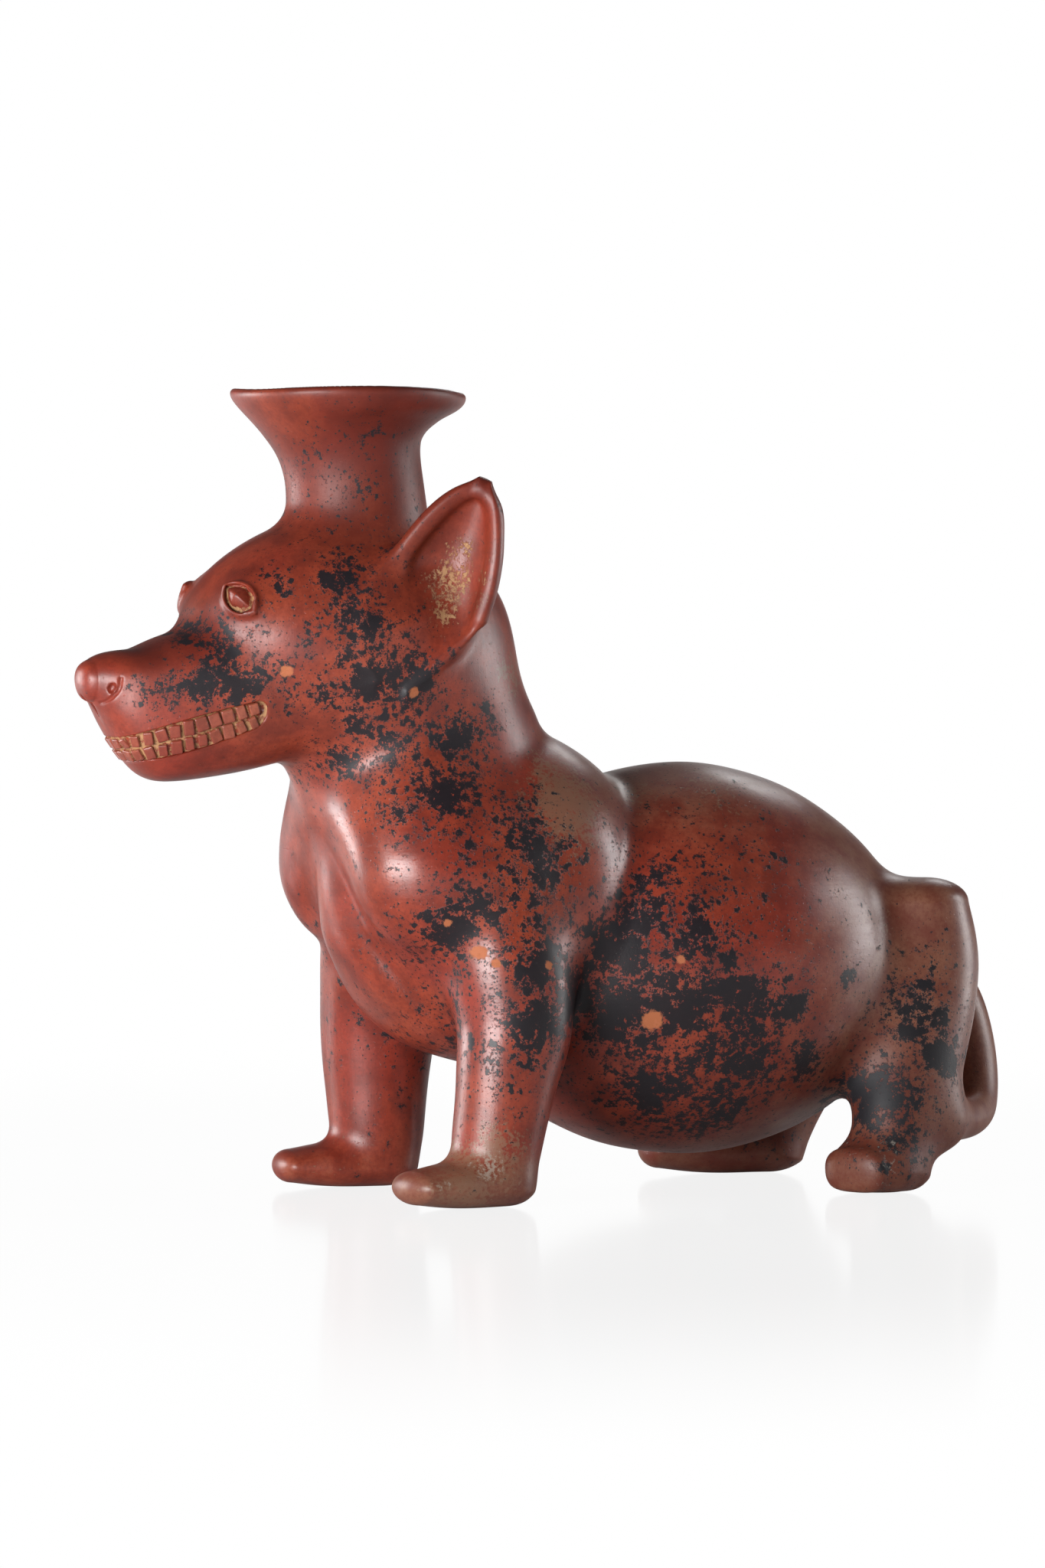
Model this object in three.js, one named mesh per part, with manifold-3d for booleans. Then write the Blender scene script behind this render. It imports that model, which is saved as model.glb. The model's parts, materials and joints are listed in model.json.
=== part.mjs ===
// A hollow clay vessel in the shape of a standing dog, with a pouring spout on its head.
// Each piece is one that a potter forms by itself and lutes to its neighbours before firing.
// Millimetres, +Z up. The dog faces -X, its left side is -Y, and it stands on z = 0.
import * as THREE from "three";
import { mergeVertices } from "three/addons/utils/BufferGeometryUtils.js";
import Module from "manifold-3d";

const wasm = await Module();
wasm.setup();

// Clay
const WALL = 7; // thickness of the hollow walls
const SEAM = 0.3; // luting gap between two pieces

// Belly: an egg made as a lower bowl and an upper dome, its centre at x = 0
const BELLY_LENGTH = 188;
const BELLY_WIDTH = 148;
const BELLY_HEIGHT = 151;
const BELLY_CLEARANCE = 13.5; // from the ground to its underside

// Chest: a globe that takes in the front of the belly, with a shoulder lobe on each side
const CHEST_LENGTH = 122;
const CHEST_WIDTH = 130;
const CHEST_HEIGHT = 128;
const CHEST_OVERLAP = 74; // how far the globe reaches behind the front of the belly
const CHEST_RISE = 27; // from the belly's centre up to the chest's
const SHOULDER_LENGTH = 80;
const SHOULDER_WIDTH = 64;
const SHOULDER_HEIGHT = 92;
const SHOULDER_SPREAD = 70; // between the centres of the two lobes
const SHOULDER_FORWARD = 28;
const SHOULDER_RISE = 5;
const WAIST_SETBACK = 27; // from the chest's centre back to the waist seam
const WAIST_TILT = 24; // of that seam, its top to the rear

// Breast keel: a flat band down the front of the chest, between the lobes
const KEEL_WIDTH = 27;
const KEEL_THICKNESS = 14;
const KEEL_TOP_ANGLE = 20; // where it starts, above the level of the chest's centre
const KEEL_LOW_ANGLE = -82; // where it ends, under the chest
const KEEL_PROUD = 2; // its middle line, outside the chest globe

// Neck
const NECK_BASE_DEPTH = 98; // fore and aft, inside the chest
const NECK_BASE_WIDTH = 94;
const NECK_BASE_FORWARD = 26; // from the chest's centre
const NECK_THROAT_DEPTH = 101; // where it leaves the chest
const NECK_THROAT_WIDTH = 92;
const NECK_TOP_DEPTH = 88; // inside the skull
const NECK_TOP_WIDTH = 80;
const NECK_TOP_SETBACK = 11; // from the skull's centre
const NECK_SEAM_RISE = 46; // of the seam between chest and neck, above the chest's centre
const NECK_SEAM_TILT = 16;

// Skull, with a brow over each eye
const SKULL_LENGTH = 131;
const SKULL_WIDTH = 92;
const SKULL_HEIGHT = 91;
const SKULL_FORWARD = 60.5; // from the chest's centre
const SKULL_RISE = 98;
const BROW_DIAMETER = 27;
const BROW_PROUD = 3.5; // how far a brow stands out of the skull
const HEAD_SEAM_SETBACK = 18; // of the seam between neck and skull, from the skull's centre
const HEAD_SEAM_DROP = 26;
const HEAD_SEAM_TILT = 23;

// Muzzle: a blunt wedge, highest at the chin
const MUZZLE_LENGTH = 105; // from the skull's centre to its tip
const MUZZLE_ROOT_HEIGHT = 64;
const MUZZLE_ROOT_WIDTH = 66;
const MUZZLE_ROOT_FORWARD = 22; // from the skull's centre
const MUZZLE_ROOT_DROP = 14;
const MUZZLE_CHIN_HEIGHT = 57;
const MUZZLE_CHIN_WIDTH = 52;
const MUZZLE_CHIN_SETBACK = 34; // from the tip
const MUZZLE_LIP_HEIGHT = 42;
const MUZZLE_LIP_WIDTH = 38;
const MUZZLE_LIP_SETBACK = 17; // from the tip
const MUZZLE_LIP_LIFT = 1.25; // from the middle of the chin up to the lips
const MUZZLE_TIP_HEIGHT = 24;
const MUZZLE_TIP_WIDTH = 25;
const MUZZLE_TIP_ROUND = 8; // length of the rounding at the tip
const MUZZLE_DROP = 26; // from the skull's centre down to the middle of the chin
const MUZZLE_TIP_LIFT = 5; // from the middle of the chin up to the tip
const MUZZLE_SEAM_FORWARD = 40; // of the seam between skull and muzzle, from the skull's centre
const MUZZLE_SEAM_TILT = 22; // of that seam, its foot to the rear
const NOSE_LENGTH = 22;
const NOSE_WIDTH = 22;
const NOSE_HEIGHT = 17;
const NOSE_LIFT = 6; // above the muzzle's tip
const NOSE_PROUD = 3.5; // in front of the muzzle's tip

// Mouth: a channel from cheek to cheek with two scored strips pressed into it
const MOUTH_LENGTH = 56; // from the front of the lips back to the corner
const MOUTH_HEIGHT = 13;
const MOUTH_DEPTH = 3.5;
const MOUTH_DROP = 16; // from the middle of the chin down to the mouth's middle line
const MOUTH_TILT = 13; // it climbs towards the cheeks
const TOOTH_PROUD = 0.5;
const TOOTH_COUNT = 13; // in each strip
const TOOTH_NOTCH = 1.2;
const TOOTH_NOTCH_DEPTH = 1.6;

// Eyes: a pellet in a ring of clay, on the brow
const EYE_AZIMUTH = 34; // to the side of straight ahead, on the skull
const EYE_ELEVATION = 17;
const EYELID_LENGTH = 20;
const EYELID_HEIGHT = 15;
const EYELID_THICKNESS = 4;
const EYEBALL_PROUD = 4;

// Spout: a collar that flares to a wide rim
const SPOUT_HEIGHT = 48; // above the top of the skull
const SPOUT_BORE = 38;
const SPOUT_WALL = 6.5;
const SPOUT_SETBACK = 3.5; // from the skull's centre
const SPOUT_FOOT_FLARE = 9; // how far the foot spreads on the skull
const RIM_DIAMETER = 91;
const RIM_FLARE = 29; // height of the flare
const RIM_THICKNESS = 6;

// Ears: cupped leaves
const EAR_LENGTH = 90;
const EAR_SUNK = 26; // of its length, below its root on the skull
const EAR_FOOT_WIDTH = 29;
const EAR_WIDTH = 42;
const EAR_WIDEST = 36; // from its foot up to its widest place
const EAR_SHOULDER_WIDTH = 34;
const EAR_SHOULDER = 63; // from its foot up to where it narrows to the tip
const EAR_TIP_WIDTH = 12;
const EAR_THICKNESS = 20;
const EAR_SHOULDER_THICKNESS = 16;
const EAR_TIP_THICKNESS = 10;
const EAR_END_ROUND = 7; // length of the rounding at its foot and its tip
const EAR_RIM = 5;
const EAR_SCOOP = 8; // how far the hollow lies out of the leaf's middle
const EAR_ROOT_AZIMUTH = 101; // on the skull, from straight ahead
const EAR_ROOT_ELEVATION = 0;
const EAR_LEAN_BACK = 19; // of its long axis, from upright
const EAR_LEAN_OUT = 15;
const EAR_FACING = 60; // of its open side, from straight ahead

// Forelegs
const FORELEG_SPACING = 110;
const FORELEG_TOP_SPACING = 72; // inside the chest
const FORELEG_TOP_DIAMETER = 48;
const FORELEG_DIAMETER = 41;
const FORELEG_MIDDLE = 46; // height of the thick of the leg
const FORELEG_FORWARD = 21; // from the chest's centre
const ANKLE_DIAMETER = 34;
const ANKLE_HEIGHT = 22;
const FOREFOOT_LENGTH = 60;
const FOREFOOT_WIDTH = 33;
const FOREFOOT_HEIGHT = 17;
const FOREFOOT_SPLAY = 9;
const FOREFOOT_HEEL = 17; // from the ankle's middle back to the heel

// Hind legs
const HAUNCH_SPACING = 86;
const HAUNCH_TOP = 117; // height of the top of the haunch
const HAUNCH_DEPTH = 36;
const HAUNCH_WIDTH = 34;
const HAUNCH_INSET = 5; // from the back of the belly forward to its middle
const HOCK_HEIGHT = 46;
const HOCK_DEPTH = 41;
const SHANK_DEPTH = 36;
const SHANK_WIDTH = 34;
const SHANK_FORWARD = 22; // from the haunch's middle to the shank's
const SHANK_SPACING = 106;
const SHANK_HEIGHT = 24;
const HIND_FOOT_LENGTH = 66;
const HIND_FOOT_WIDTH = 31;
const HIND_FOOT_HEIGHT = 18;
const HIND_FOOT_SPLAY = 21;
const HIND_FOOT_HEEL = 20;
const SOLE_CUT = 2; // how far each foot is pressed flat
const FOOT_TAPER = 0.85; // width of a foot at its heel and toe, against its middle
const TOE_SLOPE = 0.75; // height of a foot at its toe, against its middle

// Tail: a roll from the rump that bends down and ends on the left hock
const TAIL_ROOT_DIAMETER = 26;
const TAIL_TIP_DIAMETER = 17;
const TAIL_ROOT_HEIGHT = 98;
const TAIL_ROOT_SUNK = 14; // into the belly
const TAIL_BEND_HEIGHT = 70;
const TAIL_BEND_REACH = 5.6; // of its middle line, behind the haunches
const TAIL_CURL_HEIGHT = 35;
const TAIL_CURL_REACH = 8; // of its middle line, behind the haunches
const TAIL_CURL_ASIDE = 21; // from the middle of the dog
const TAIL_TIP_HEIGHT = 28;

// Facets
const AROUND_LARGE = 26;
const AROUND_MEDIUM = 16;
const AROUND_SMALL = 12;
const AROUND_TUBE = 8;
const STEPS = 6; // along a roll
const STEPS_BENT = 10; // along a roll that bends
const STEPS_SHORT = 4; // along a short roll
const STEPS_OUTLINE = 4; // in each curve of the spout's outline
const DOME_RINGS = 2;
const KEEL_STATIONS = 5;

// Ends of a roll: the height of its dome, against half its thickness
const BLUNT = 0.3;
const SOFT = 0.6;
const ROUND = 1;

const LEFT = -1;
const RIGHT = 1;
const ACROSS = new THREE.Vector3(0, 1, 0);
const rad = THREE.MathUtils.degToRad;
const vec = (x, y, z) => new THREE.Vector3(x, y, z);
const station = (at, width, height) => ({ at, width, height });

// Solids

function solid(geometry) {
  for (const name of ["normal", "uv"]) geometry.deleteAttribute(name);
  const merged = mergeVertices(geometry, 1e-3);
  const mesh = new wasm.Mesh({
    numProp: 3,
    vertProperties: new Float32Array(merged.attributes.position.array),
    triVerts: new Uint32Array(merged.index.array),
  });
  return new wasm.Manifold(mesh);
}

function geometryOf(manifold) {
  const mesh = manifold.getMesh();
  const geometry = new THREE.BufferGeometry();
  geometry.setAttribute("position", new THREE.BufferAttribute(mesh.vertProperties, 3));
  geometry.setIndex(new THREE.BufferAttribute(mesh.triVerts, 1));
  geometry.computeVertexNormals();
  return geometry;
}

const cut = (from, ...tools) => tools.reduce((body, tool) => body.subtract(tool), from);
const join = (first, ...rest) => rest.reduce((body, other) => body.add(other), first);

// The largest piece, without the crumbs that a cut leaves.
function whole(manifold) {
  return manifold.decompose().sort((a, b) => b.volume() - a.volume())[0];
}

function block(length, width, height, matrix) {
  return solid(new THREE.BoxGeometry(length, width, height).applyMatrix4(matrix));
}

// Everything on the +Z side of a plane that goes through a point, tilted about Y.
const FAR = 1000;
function beyond(point, tilt, offset = 0) {
  const matrix = new THREE.Matrix4()
    .makeTranslation(point.x, point.y, point.z)
    .multiply(new THREE.Matrix4().makeRotationY(rad(tilt)))
    .multiply(new THREE.Matrix4().makeTranslation(0, 0, FAR / 2 + offset));
  return block(FAR, FAR, FAR, matrix);
}

// A body parted by such a plane, with a luting gap: the side beyond it, then the other.
function part(body, point, tilt) {
  return [
    body.intersect(beyond(point, tilt, SEAM / 2)),
    body.subtract(beyond(point, tilt, -SEAM / 2)),
  ];
}

// An egg of clay: an ellipsoid, made larger or smaller by grow.
function egg(center, length, width, height, { grow = 0, around = AROUND_LARGE } = {}) {
  const sphere = new THREE.SphereGeometry(1, around, around / 2);
  sphere.scale(length / 2 + grow, width / 2 + grow, height / 2 + grow);
  return solid(sphere.translate(center.x, center.y, center.z));
}

// A rolled form: oval sections along a smooth line, with a dome at each end.
// Each station has its middle, its width along side and its height across that.
const ROLL = { grow: 0, around: AROUND_SMALL, steps: STEPS, domes: [ROUND, ROUND] };
function roll(stations, side, options) {
  const { grow, around, steps, domes } = { ...ROLL, ...options };
  const line = new THREE.CatmullRomCurve3(stations.map((s) => s.at));
  const sizes = new THREE.SplineCurve(stations.map((s) => new THREE.Vector2(s.width / 2, s.height / 2)));
  const points = [];
  const addRing = (t, shift, scale) => {
    const along = line.getTangent(t);
    const across = side.clone().addScaledVector(along, -side.dot(along)).normalize();
    const up = new THREE.Vector3().crossVectors(along, across);
    const size = sizes.getPoint(t);
    const middle = line.getPoint(t).addScaledVector(along, shift);
    for (let k = 0; k < around; k++) {
      const angle = (k / around) * 2 * Math.PI;
      const point = middle.clone();
      point.addScaledVector(across, (size.x + grow) * scale * Math.cos(angle));
      point.addScaledVector(up, (size.y + grow) * scale * Math.sin(angle));
      points.push(point);
    }
  };
  const domeLength = (t, share) => share * Math.min(sizes.getPoint(t).x, sizes.getPoint(t).y) + grow;
  const startDome = domeLength(0, domes[0]);
  const endDome = domeLength(1, domes[1]);
  const domeTurn = (i) => ((i / (DOME_RINGS + 1)) * Math.PI) / 2;
  for (let i = DOME_RINGS; i > 0; i--) {
    addRing(0, -startDome * Math.sin(domeTurn(i)), Math.cos(domeTurn(i)));
  }
  for (let i = 0; i <= steps; i++) {
    addRing(i / steps, 0, 1);
  }
  for (let i = 1; i <= DOME_RINGS; i++) {
    addRing(1, endDome * Math.sin(domeTurn(i)), Math.cos(domeTurn(i)));
  }
  const last = points.length - around;
  const startPole = points.push(line.getPoint(0).addScaledVector(line.getTangent(0), -startDome)) - 1;
  const endPole = points.push(line.getPoint(1).addScaledVector(line.getTangent(1), endDome)) - 1;
  const faces = [];
  for (let k = 0; k < around; k++) {
    const next = (k + 1) % around;
    faces.push(startPole, next, k, endPole, last + k, last + next);
    for (let r = 0; r < last; r += around) {
      faces.push(r + k, r + next, r + around + k, r + next, r + around + next, r + around + k);
    }
  }
  const geometry = new THREE.BufferGeometry().setFromPoints(points);
  geometry.setIndex(faces);
  return solid(geometry);
}

// Places

const bellyCenter = vec(0, 0, BELLY_CLEARANCE + BELLY_HEIGHT / 2);
const bellyFront = bellyCenter.x - BELLY_LENGTH / 2;
const bellyBack = bellyCenter.x + BELLY_LENGTH / 2;
const chestCenter = vec(bellyFront + CHEST_OVERLAP - CHEST_LENGTH / 2, 0, bellyCenter.z + CHEST_RISE);
const skullCenter = vec(chestCenter.x - SKULL_FORWARD, 0, chestCenter.z + SKULL_RISE);
const skullTop = skullCenter.z + SKULL_HEIGHT / 2;
const chinHeight = skullCenter.z - MUZZLE_DROP;
const muzzleTip = vec(skullCenter.x - MUZZLE_LENGTH, 0, chinHeight + MUZZLE_TIP_LIFT);
const spoutAxis = skullCenter.x + SPOUT_SETBACK;

// A point on the skull, at an azimuth from straight ahead and an elevation, with the normal there.
function onSkull(azimuth, elevation, side) {
  const direction = vec(
    -Math.cos(rad(azimuth)) * Math.cos(rad(elevation)),
    side * Math.sin(rad(azimuth)) * Math.cos(rad(elevation)),
    Math.sin(rad(elevation)),
  );
  const half = vec(SKULL_LENGTH / 2, SKULL_WIDTH / 2, SKULL_HEIGHT / 2);
  return {
    point: direction.clone().multiply(half).add(skullCenter),
    normal: direction.clone().divide(half).normalize(),
  };
}

// Outer forms of the hollow body, made larger or smaller by grow

const belly = (grow, around) => egg(bellyCenter, BELLY_LENGTH, BELLY_WIDTH, BELLY_HEIGHT, { grow, around });

function chest(grow, around) {
  const globe = egg(chestCenter, CHEST_LENGTH, CHEST_WIDTH, CHEST_HEIGHT, { grow, around });
  const lobes = [LEFT, RIGHT].map((side) => {
    const center = vec(-SHOULDER_FORWARD, (side * SHOULDER_SPREAD) / 2, SHOULDER_RISE).add(chestCenter);
    return egg(center, SHOULDER_LENGTH, SHOULDER_WIDTH, SHOULDER_HEIGHT, { grow, around: AROUND_MEDIUM });
  });
  return join(globe, ...lobes);
}

function neck(grow, around) {
  const throat = vec(chestCenter.x - NECK_BASE_FORWARD, 0, chestCenter.z + NECK_SEAM_RISE);
  const stations = [
    station(vec(throat.x, 0, chestCenter.z), NECK_BASE_WIDTH, NECK_BASE_DEPTH),
    station(throat, NECK_THROAT_WIDTH, NECK_THROAT_DEPTH),
    station(vec(skullCenter.x + NECK_TOP_SETBACK, 0, skullCenter.z), NECK_TOP_WIDTH, NECK_TOP_DEPTH),
  ];
  return roll(stations, ACROSS, { grow, around, domes: [BLUNT, BLUNT] });
}

function skull(grow, around) {
  const globe = egg(skullCenter, SKULL_LENGTH, SKULL_WIDTH, SKULL_HEIGHT, { grow, around });
  const brows = [LEFT, RIGHT].map((side) => {
    const { point, normal } = onSkull(EYE_AZIMUTH, EYE_ELEVATION, side);
    const center = point.addScaledVector(normal, BROW_PROUD - BROW_DIAMETER / 2);
    return egg(center, BROW_DIAMETER, BROW_DIAMETER, BROW_DIAMETER, { grow, around: AROUND_SMALL });
  });
  return join(globe, ...brows);
}

const muzzleBack = [
  station(
    skullCenter.clone().add(vec(-MUZZLE_ROOT_FORWARD, 0, -MUZZLE_ROOT_DROP)),
    MUZZLE_ROOT_WIDTH, MUZZLE_ROOT_HEIGHT,
  ),
  station(vec(muzzleTip.x + MUZZLE_CHIN_SETBACK, 0, chinHeight), MUZZLE_CHIN_WIDTH, MUZZLE_CHIN_HEIGHT),
];
const muzzleFront = [
  station(
    vec(muzzleTip.x + MUZZLE_LIP_SETBACK, 0, chinHeight + MUZZLE_LIP_LIFT),
    MUZZLE_LIP_WIDTH, MUZZLE_LIP_HEIGHT,
  ),
  station(vec(muzzleTip.x + MUZZLE_TIP_ROUND, 0, muzzleTip.z), MUZZLE_TIP_WIDTH, MUZZLE_TIP_HEIGHT),
];
const muzzleEnds = [BLUNT, (2 * MUZZLE_TIP_ROUND) / Math.min(MUZZLE_TIP_HEIGHT, MUZZLE_TIP_WIDTH)];
const muzzle = (grow) =>
  roll([...muzzleBack, ...muzzleFront], ACROSS, { grow, around: AROUND_MEDIUM, domes: muzzleEnds });

const body = (grow) =>
  join(
    belly(grow, AROUND_LARGE),
    chest(grow, AROUND_LARGE),
    neck(grow, AROUND_LARGE),
    skull(grow, AROUND_LARGE),
    muzzle(grow),
  );

// The inside of the vessel, one cavity from the spout to the belly

const spoutBore = solid(
  new THREE.CylinderGeometry(SPOUT_BORE / 2, SPOUT_BORE / 2, SKULL_HEIGHT, AROUND_LARGE)
    .rotateX(Math.PI / 2)
    .translate(spoutAxis, 0, skullTop),
);
const skullCavity = egg(
  skullCenter, SKULL_LENGTH, SKULL_WIDTH, SKULL_HEIGHT, { grow: -WALL, around: AROUND_MEDIUM },
);
const muzzleCavity = roll(muzzleBack, ACROSS, { grow: -WALL, steps: STEPS_SHORT, domes: [BLUNT, SOFT] });
const cavity = join(
  belly(-WALL, AROUND_MEDIUM),
  chest(-WALL, AROUND_MEDIUM),
  neck(-WALL, AROUND_MEDIUM),
  skullCavity,
  muzzleCavity,
  spoutBore,
);

// The mouth's frame: its middle line, tilted about the front of the lips
const mouthFrame = new THREE.Matrix4()
  .makeTranslation(muzzleTip.x + MUZZLE_LIP_SETBACK / 2, 0, chinHeight - MOUTH_DROP)
  .multiply(new THREE.Matrix4().makeRotationY(-rad(MOUTH_TILT)));

// A slab of the mouth from one level to another, reaching back to the corners.
function mouthSlab(low, high, setback) {
  const length = MOUTH_LENGTH * 2;
  const shift = new THREE.Matrix4().makeTranslation(-setback, 0, (low + high) / 2);
  return block(length, MUZZLE_ROOT_WIDTH * 2, high - low, mouthFrame.clone().multiply(shift));
}

const mouthChannel = cut(mouthSlab(-MOUTH_HEIGHT / 2, MOUTH_HEIGHT / 2, 0), muzzle(-MOUTH_DEPTH));

// The body's shell, parted where the potter's pieces meet

const setOn = body(SEAM); // what a piece that is set on the body is cut with
const shell = cut(body(0), cavity, mouthChannel);
const [headShell, trunkAndNeck] = part(
  shell,
  skullCenter.clone().add(vec(HEAD_SEAM_SETBACK, 0, -HEAD_SEAM_DROP)),
  -HEAD_SEAM_TILT,
);
const [muzzleShell, skullShell] = part(
  headShell,
  skullCenter.clone().add(vec(-MUZZLE_SEAM_FORWARD, 0, -MUZZLE_DROP)),
  -90 - MUZZLE_SEAM_TILT,
);
const [neckShell, trunk] = part(
  trunkAndNeck,
  chestCenter.clone().add(vec(-NECK_BASE_FORWARD, 0, NECK_SEAM_RISE)),
  -NECK_SEAM_TILT,
);
const [chestShell, bellyShell] = part(
  trunk,
  chestCenter.clone().add(vec(WAIST_SETBACK, 0, 0)),
  WAIST_TILT - 90,
);
const [backDome, bellyBowl] = part(bellyShell, bellyCenter, 0);

// A strip of clay round the mouth, scored into teeth that are shifted by a share of one tooth.
const HALF_TOOTH = -0.5;
function toothStrip(low, high, shift) {
  const band = cut(muzzle(TOOTH_PROUD), muzzle(SEAM - MOUTH_DEPTH));
  let strip = band.intersect(mouthSlab(low, high, SEAM));
  for (let i = 1; i < TOOTH_COUNT; i++) {
    const turn = rad(-90 + (180 * (i + shift)) / TOOTH_COUNT);
    const notch = mouthFrame
      .clone()
      .multiply(new THREE.Matrix4().makeTranslation(MOUTH_LENGTH, 0, (low + high) / 2))
      .multiply(new THREE.Matrix4().makeScale(MOUTH_LENGTH, MUZZLE_CHIN_WIDTH / 2, 1))
      .multiply(new THREE.Matrix4().makeRotationZ(turn));
    const place = vec(-1, 0, 0).applyMatrix4(notch);
    const facing = Math.atan2(MOUTH_LENGTH * Math.sin(turn), (MUZZLE_CHIN_WIDTH / 2) * Math.cos(turn));
    const matrix = new THREE.Matrix4()
      .makeTranslation(place.x, place.y, place.z)
      .multiply(new THREE.Matrix4().makeRotationZ(facing));
    strip = strip.subtract(block(TOOTH_NOTCH_DEPTH * 2, TOOTH_NOTCH, high - low + MOUTH_DEPTH, matrix));
  }
  return strip;
}
const upperTeeth = toothStrip(SEAM / 2, MOUTH_HEIGHT / 2 - SEAM, 0);
const lowerTeeth = toothStrip(SEAM - MOUTH_HEIGHT / 2, -SEAM / 2, HALF_TOOTH);

const noseCenter = muzzleTip.clone().add(vec(NOSE_LENGTH / 2 - NOSE_PROUD, 0, NOSE_LIFT));
const nosePad = cut(egg(noseCenter, NOSE_LENGTH, NOSE_WIDTH, NOSE_HEIGHT, { around: AROUND_SMALL }), setOn);

// Spout: its outline flares at the foot and at the rim, and the lip is round.
function spoutSolid() {
  const bore = SPOUT_BORE / 2;
  const radius = bore + SPOUT_WALL;
  const rim = RIM_DIAMETER / 2;
  const lip = RIM_THICKNESS / 2;
  const top = skullTop + SPOUT_HEIGHT;
  const flare = top - RIM_FLARE;
  const foot = skullTop - SPOUT_FOOT_FLARE;
  const outer = new THREE.Path();
  outer.moveTo(radius + SPOUT_FOOT_FLARE, foot);
  outer.quadraticCurveTo(radius, foot + SPOUT_FOOT_FLARE, radius, flare);
  outer.quadraticCurveTo(radius, top - RIM_FLARE / 2, rim - lip, top - 2 * lip);
  outer.absarc(rim - lip, top - lip, lip, -Math.PI / 2, Math.PI / 2, false);
  outer.quadraticCurveTo(bore, top - RIM_FLARE / 3, bore, flare);
  const points = outer.getPoints(STEPS_OUTLINE);
  points.push(new THREE.Vector2(bore, foot), points[0].clone());
  const lathe = new THREE.LatheGeometry(points, AROUND_LARGE);
  return solid(lathe.rotateX(Math.PI / 2).translate(spoutAxis, 0, 0));
}
const spout = whole(cut(spoutSolid(), setOn));

// Ears: a leaf with its open side scooped out.
function ear(side) {
  const root = onSkull(EAR_ROOT_AZIMUTH, EAR_ROOT_ELEVATION, side).point;
  const along = vec(Math.tan(rad(EAR_LEAN_BACK)), side * Math.tan(rad(EAR_LEAN_OUT)), 1).normalize();
  const open = vec(-Math.cos(rad(EAR_FACING)), side * Math.sin(rad(EAR_FACING)), 0);
  const across = new THREE.Vector3().crossVectors(along, open).normalize();
  const leaf = (rim, lift) => {
    const at = (rise) => root.clone().addScaledVector(along, rise - EAR_SUNK).addScaledVector(open, lift);
    const stations = [
      station(at(EAR_END_ROUND), EAR_FOOT_WIDTH - 2 * rim, EAR_THICKNESS),
      station(at(EAR_WIDEST), EAR_WIDTH - 2 * rim, EAR_THICKNESS),
      station(at(EAR_SHOULDER), EAR_SHOULDER_WIDTH - 2 * rim, EAR_SHOULDER_THICKNESS),
      station(at(EAR_LENGTH - EAR_END_ROUND - 2 * rim), EAR_TIP_WIDTH - rim, EAR_TIP_THICKNESS),
    ];
    return roll(stations, across, { domes: [SOFT, ROUND] });
  };
  return whole(cut(leaf(0, 0), leaf(EAR_RIM, EAR_SCOOP), setOn));
}

// Eyes: a ring of clay and the pellet inside it, on the brow.
function eyeFrame(side) {
  const { point, normal } = onSkull(EYE_AZIMUTH, EYE_ELEVATION, side);
  const level = new THREE.Vector3().crossVectors(vec(0, 0, 1), normal).normalize();
  const upright = new THREE.Vector3().crossVectors(normal, level);
  const place = point.addScaledVector(normal, BROW_PROUD - EYELID_THICKNESS / 2);
  return new THREE.Matrix4().makeBasis(level, upright, normal).setPosition(place);
}

function eyelid(side) {
  const tube = EYELID_THICKNESS / 2;
  const ring = new THREE.TorusGeometry(EYELID_HEIGHT / 2 - tube, tube, AROUND_TUBE, AROUND_SMALL);
  ring.scale((EYELID_LENGTH / 2 - tube) / (EYELID_HEIGHT / 2 - tube), 1, 2);
  return whole(cut(solid(ring.applyMatrix4(eyeFrame(side))), setOn));
}

function eyeball(side) {
  const pellet = new THREE.SphereGeometry(1, AROUND_SMALL, AROUND_TUBE);
  const inside = EYELID_HEIGHT / 2 - EYELID_THICKNESS - SEAM;
  const proud = EYEBALL_PROUD + EYELID_THICKNESS / 2;
  pellet.scale((inside * EYELID_LENGTH) / EYELID_HEIGHT, inside, proud);
  return whole(cut(solid(pellet.applyMatrix4(eyeFrame(side))), setOn));
}

// Legs and feet

const ground = beyond(vec(0, 0, 0), 0);

function footRoll(ankle, side, { length, width, height, splay, heel }) {
  const forward = vec(-Math.cos(rad(splay)), side * Math.sin(rad(splay)), 0);
  const across = vec(forward.y, -forward.x, 0);
  const half = height / 2;
  const at = (distance, rise) =>
    vec(ankle.x, ankle.y, rise - SOLE_CUT).addScaledVector(forward, distance - heel);
  const stations = [
    station(at(half, half), width * FOOT_TAPER, height),
    station(at(length / 2, half), width, height),
    station(at(length - half, half * FOOT_TAPER), width * FOOT_TAPER, height * TOE_SLOPE),
  ];
  return roll(stations, across, { steps: STEPS_SHORT });
}

const forelegX = chestCenter.x - FORELEG_FORWARD;

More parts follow.
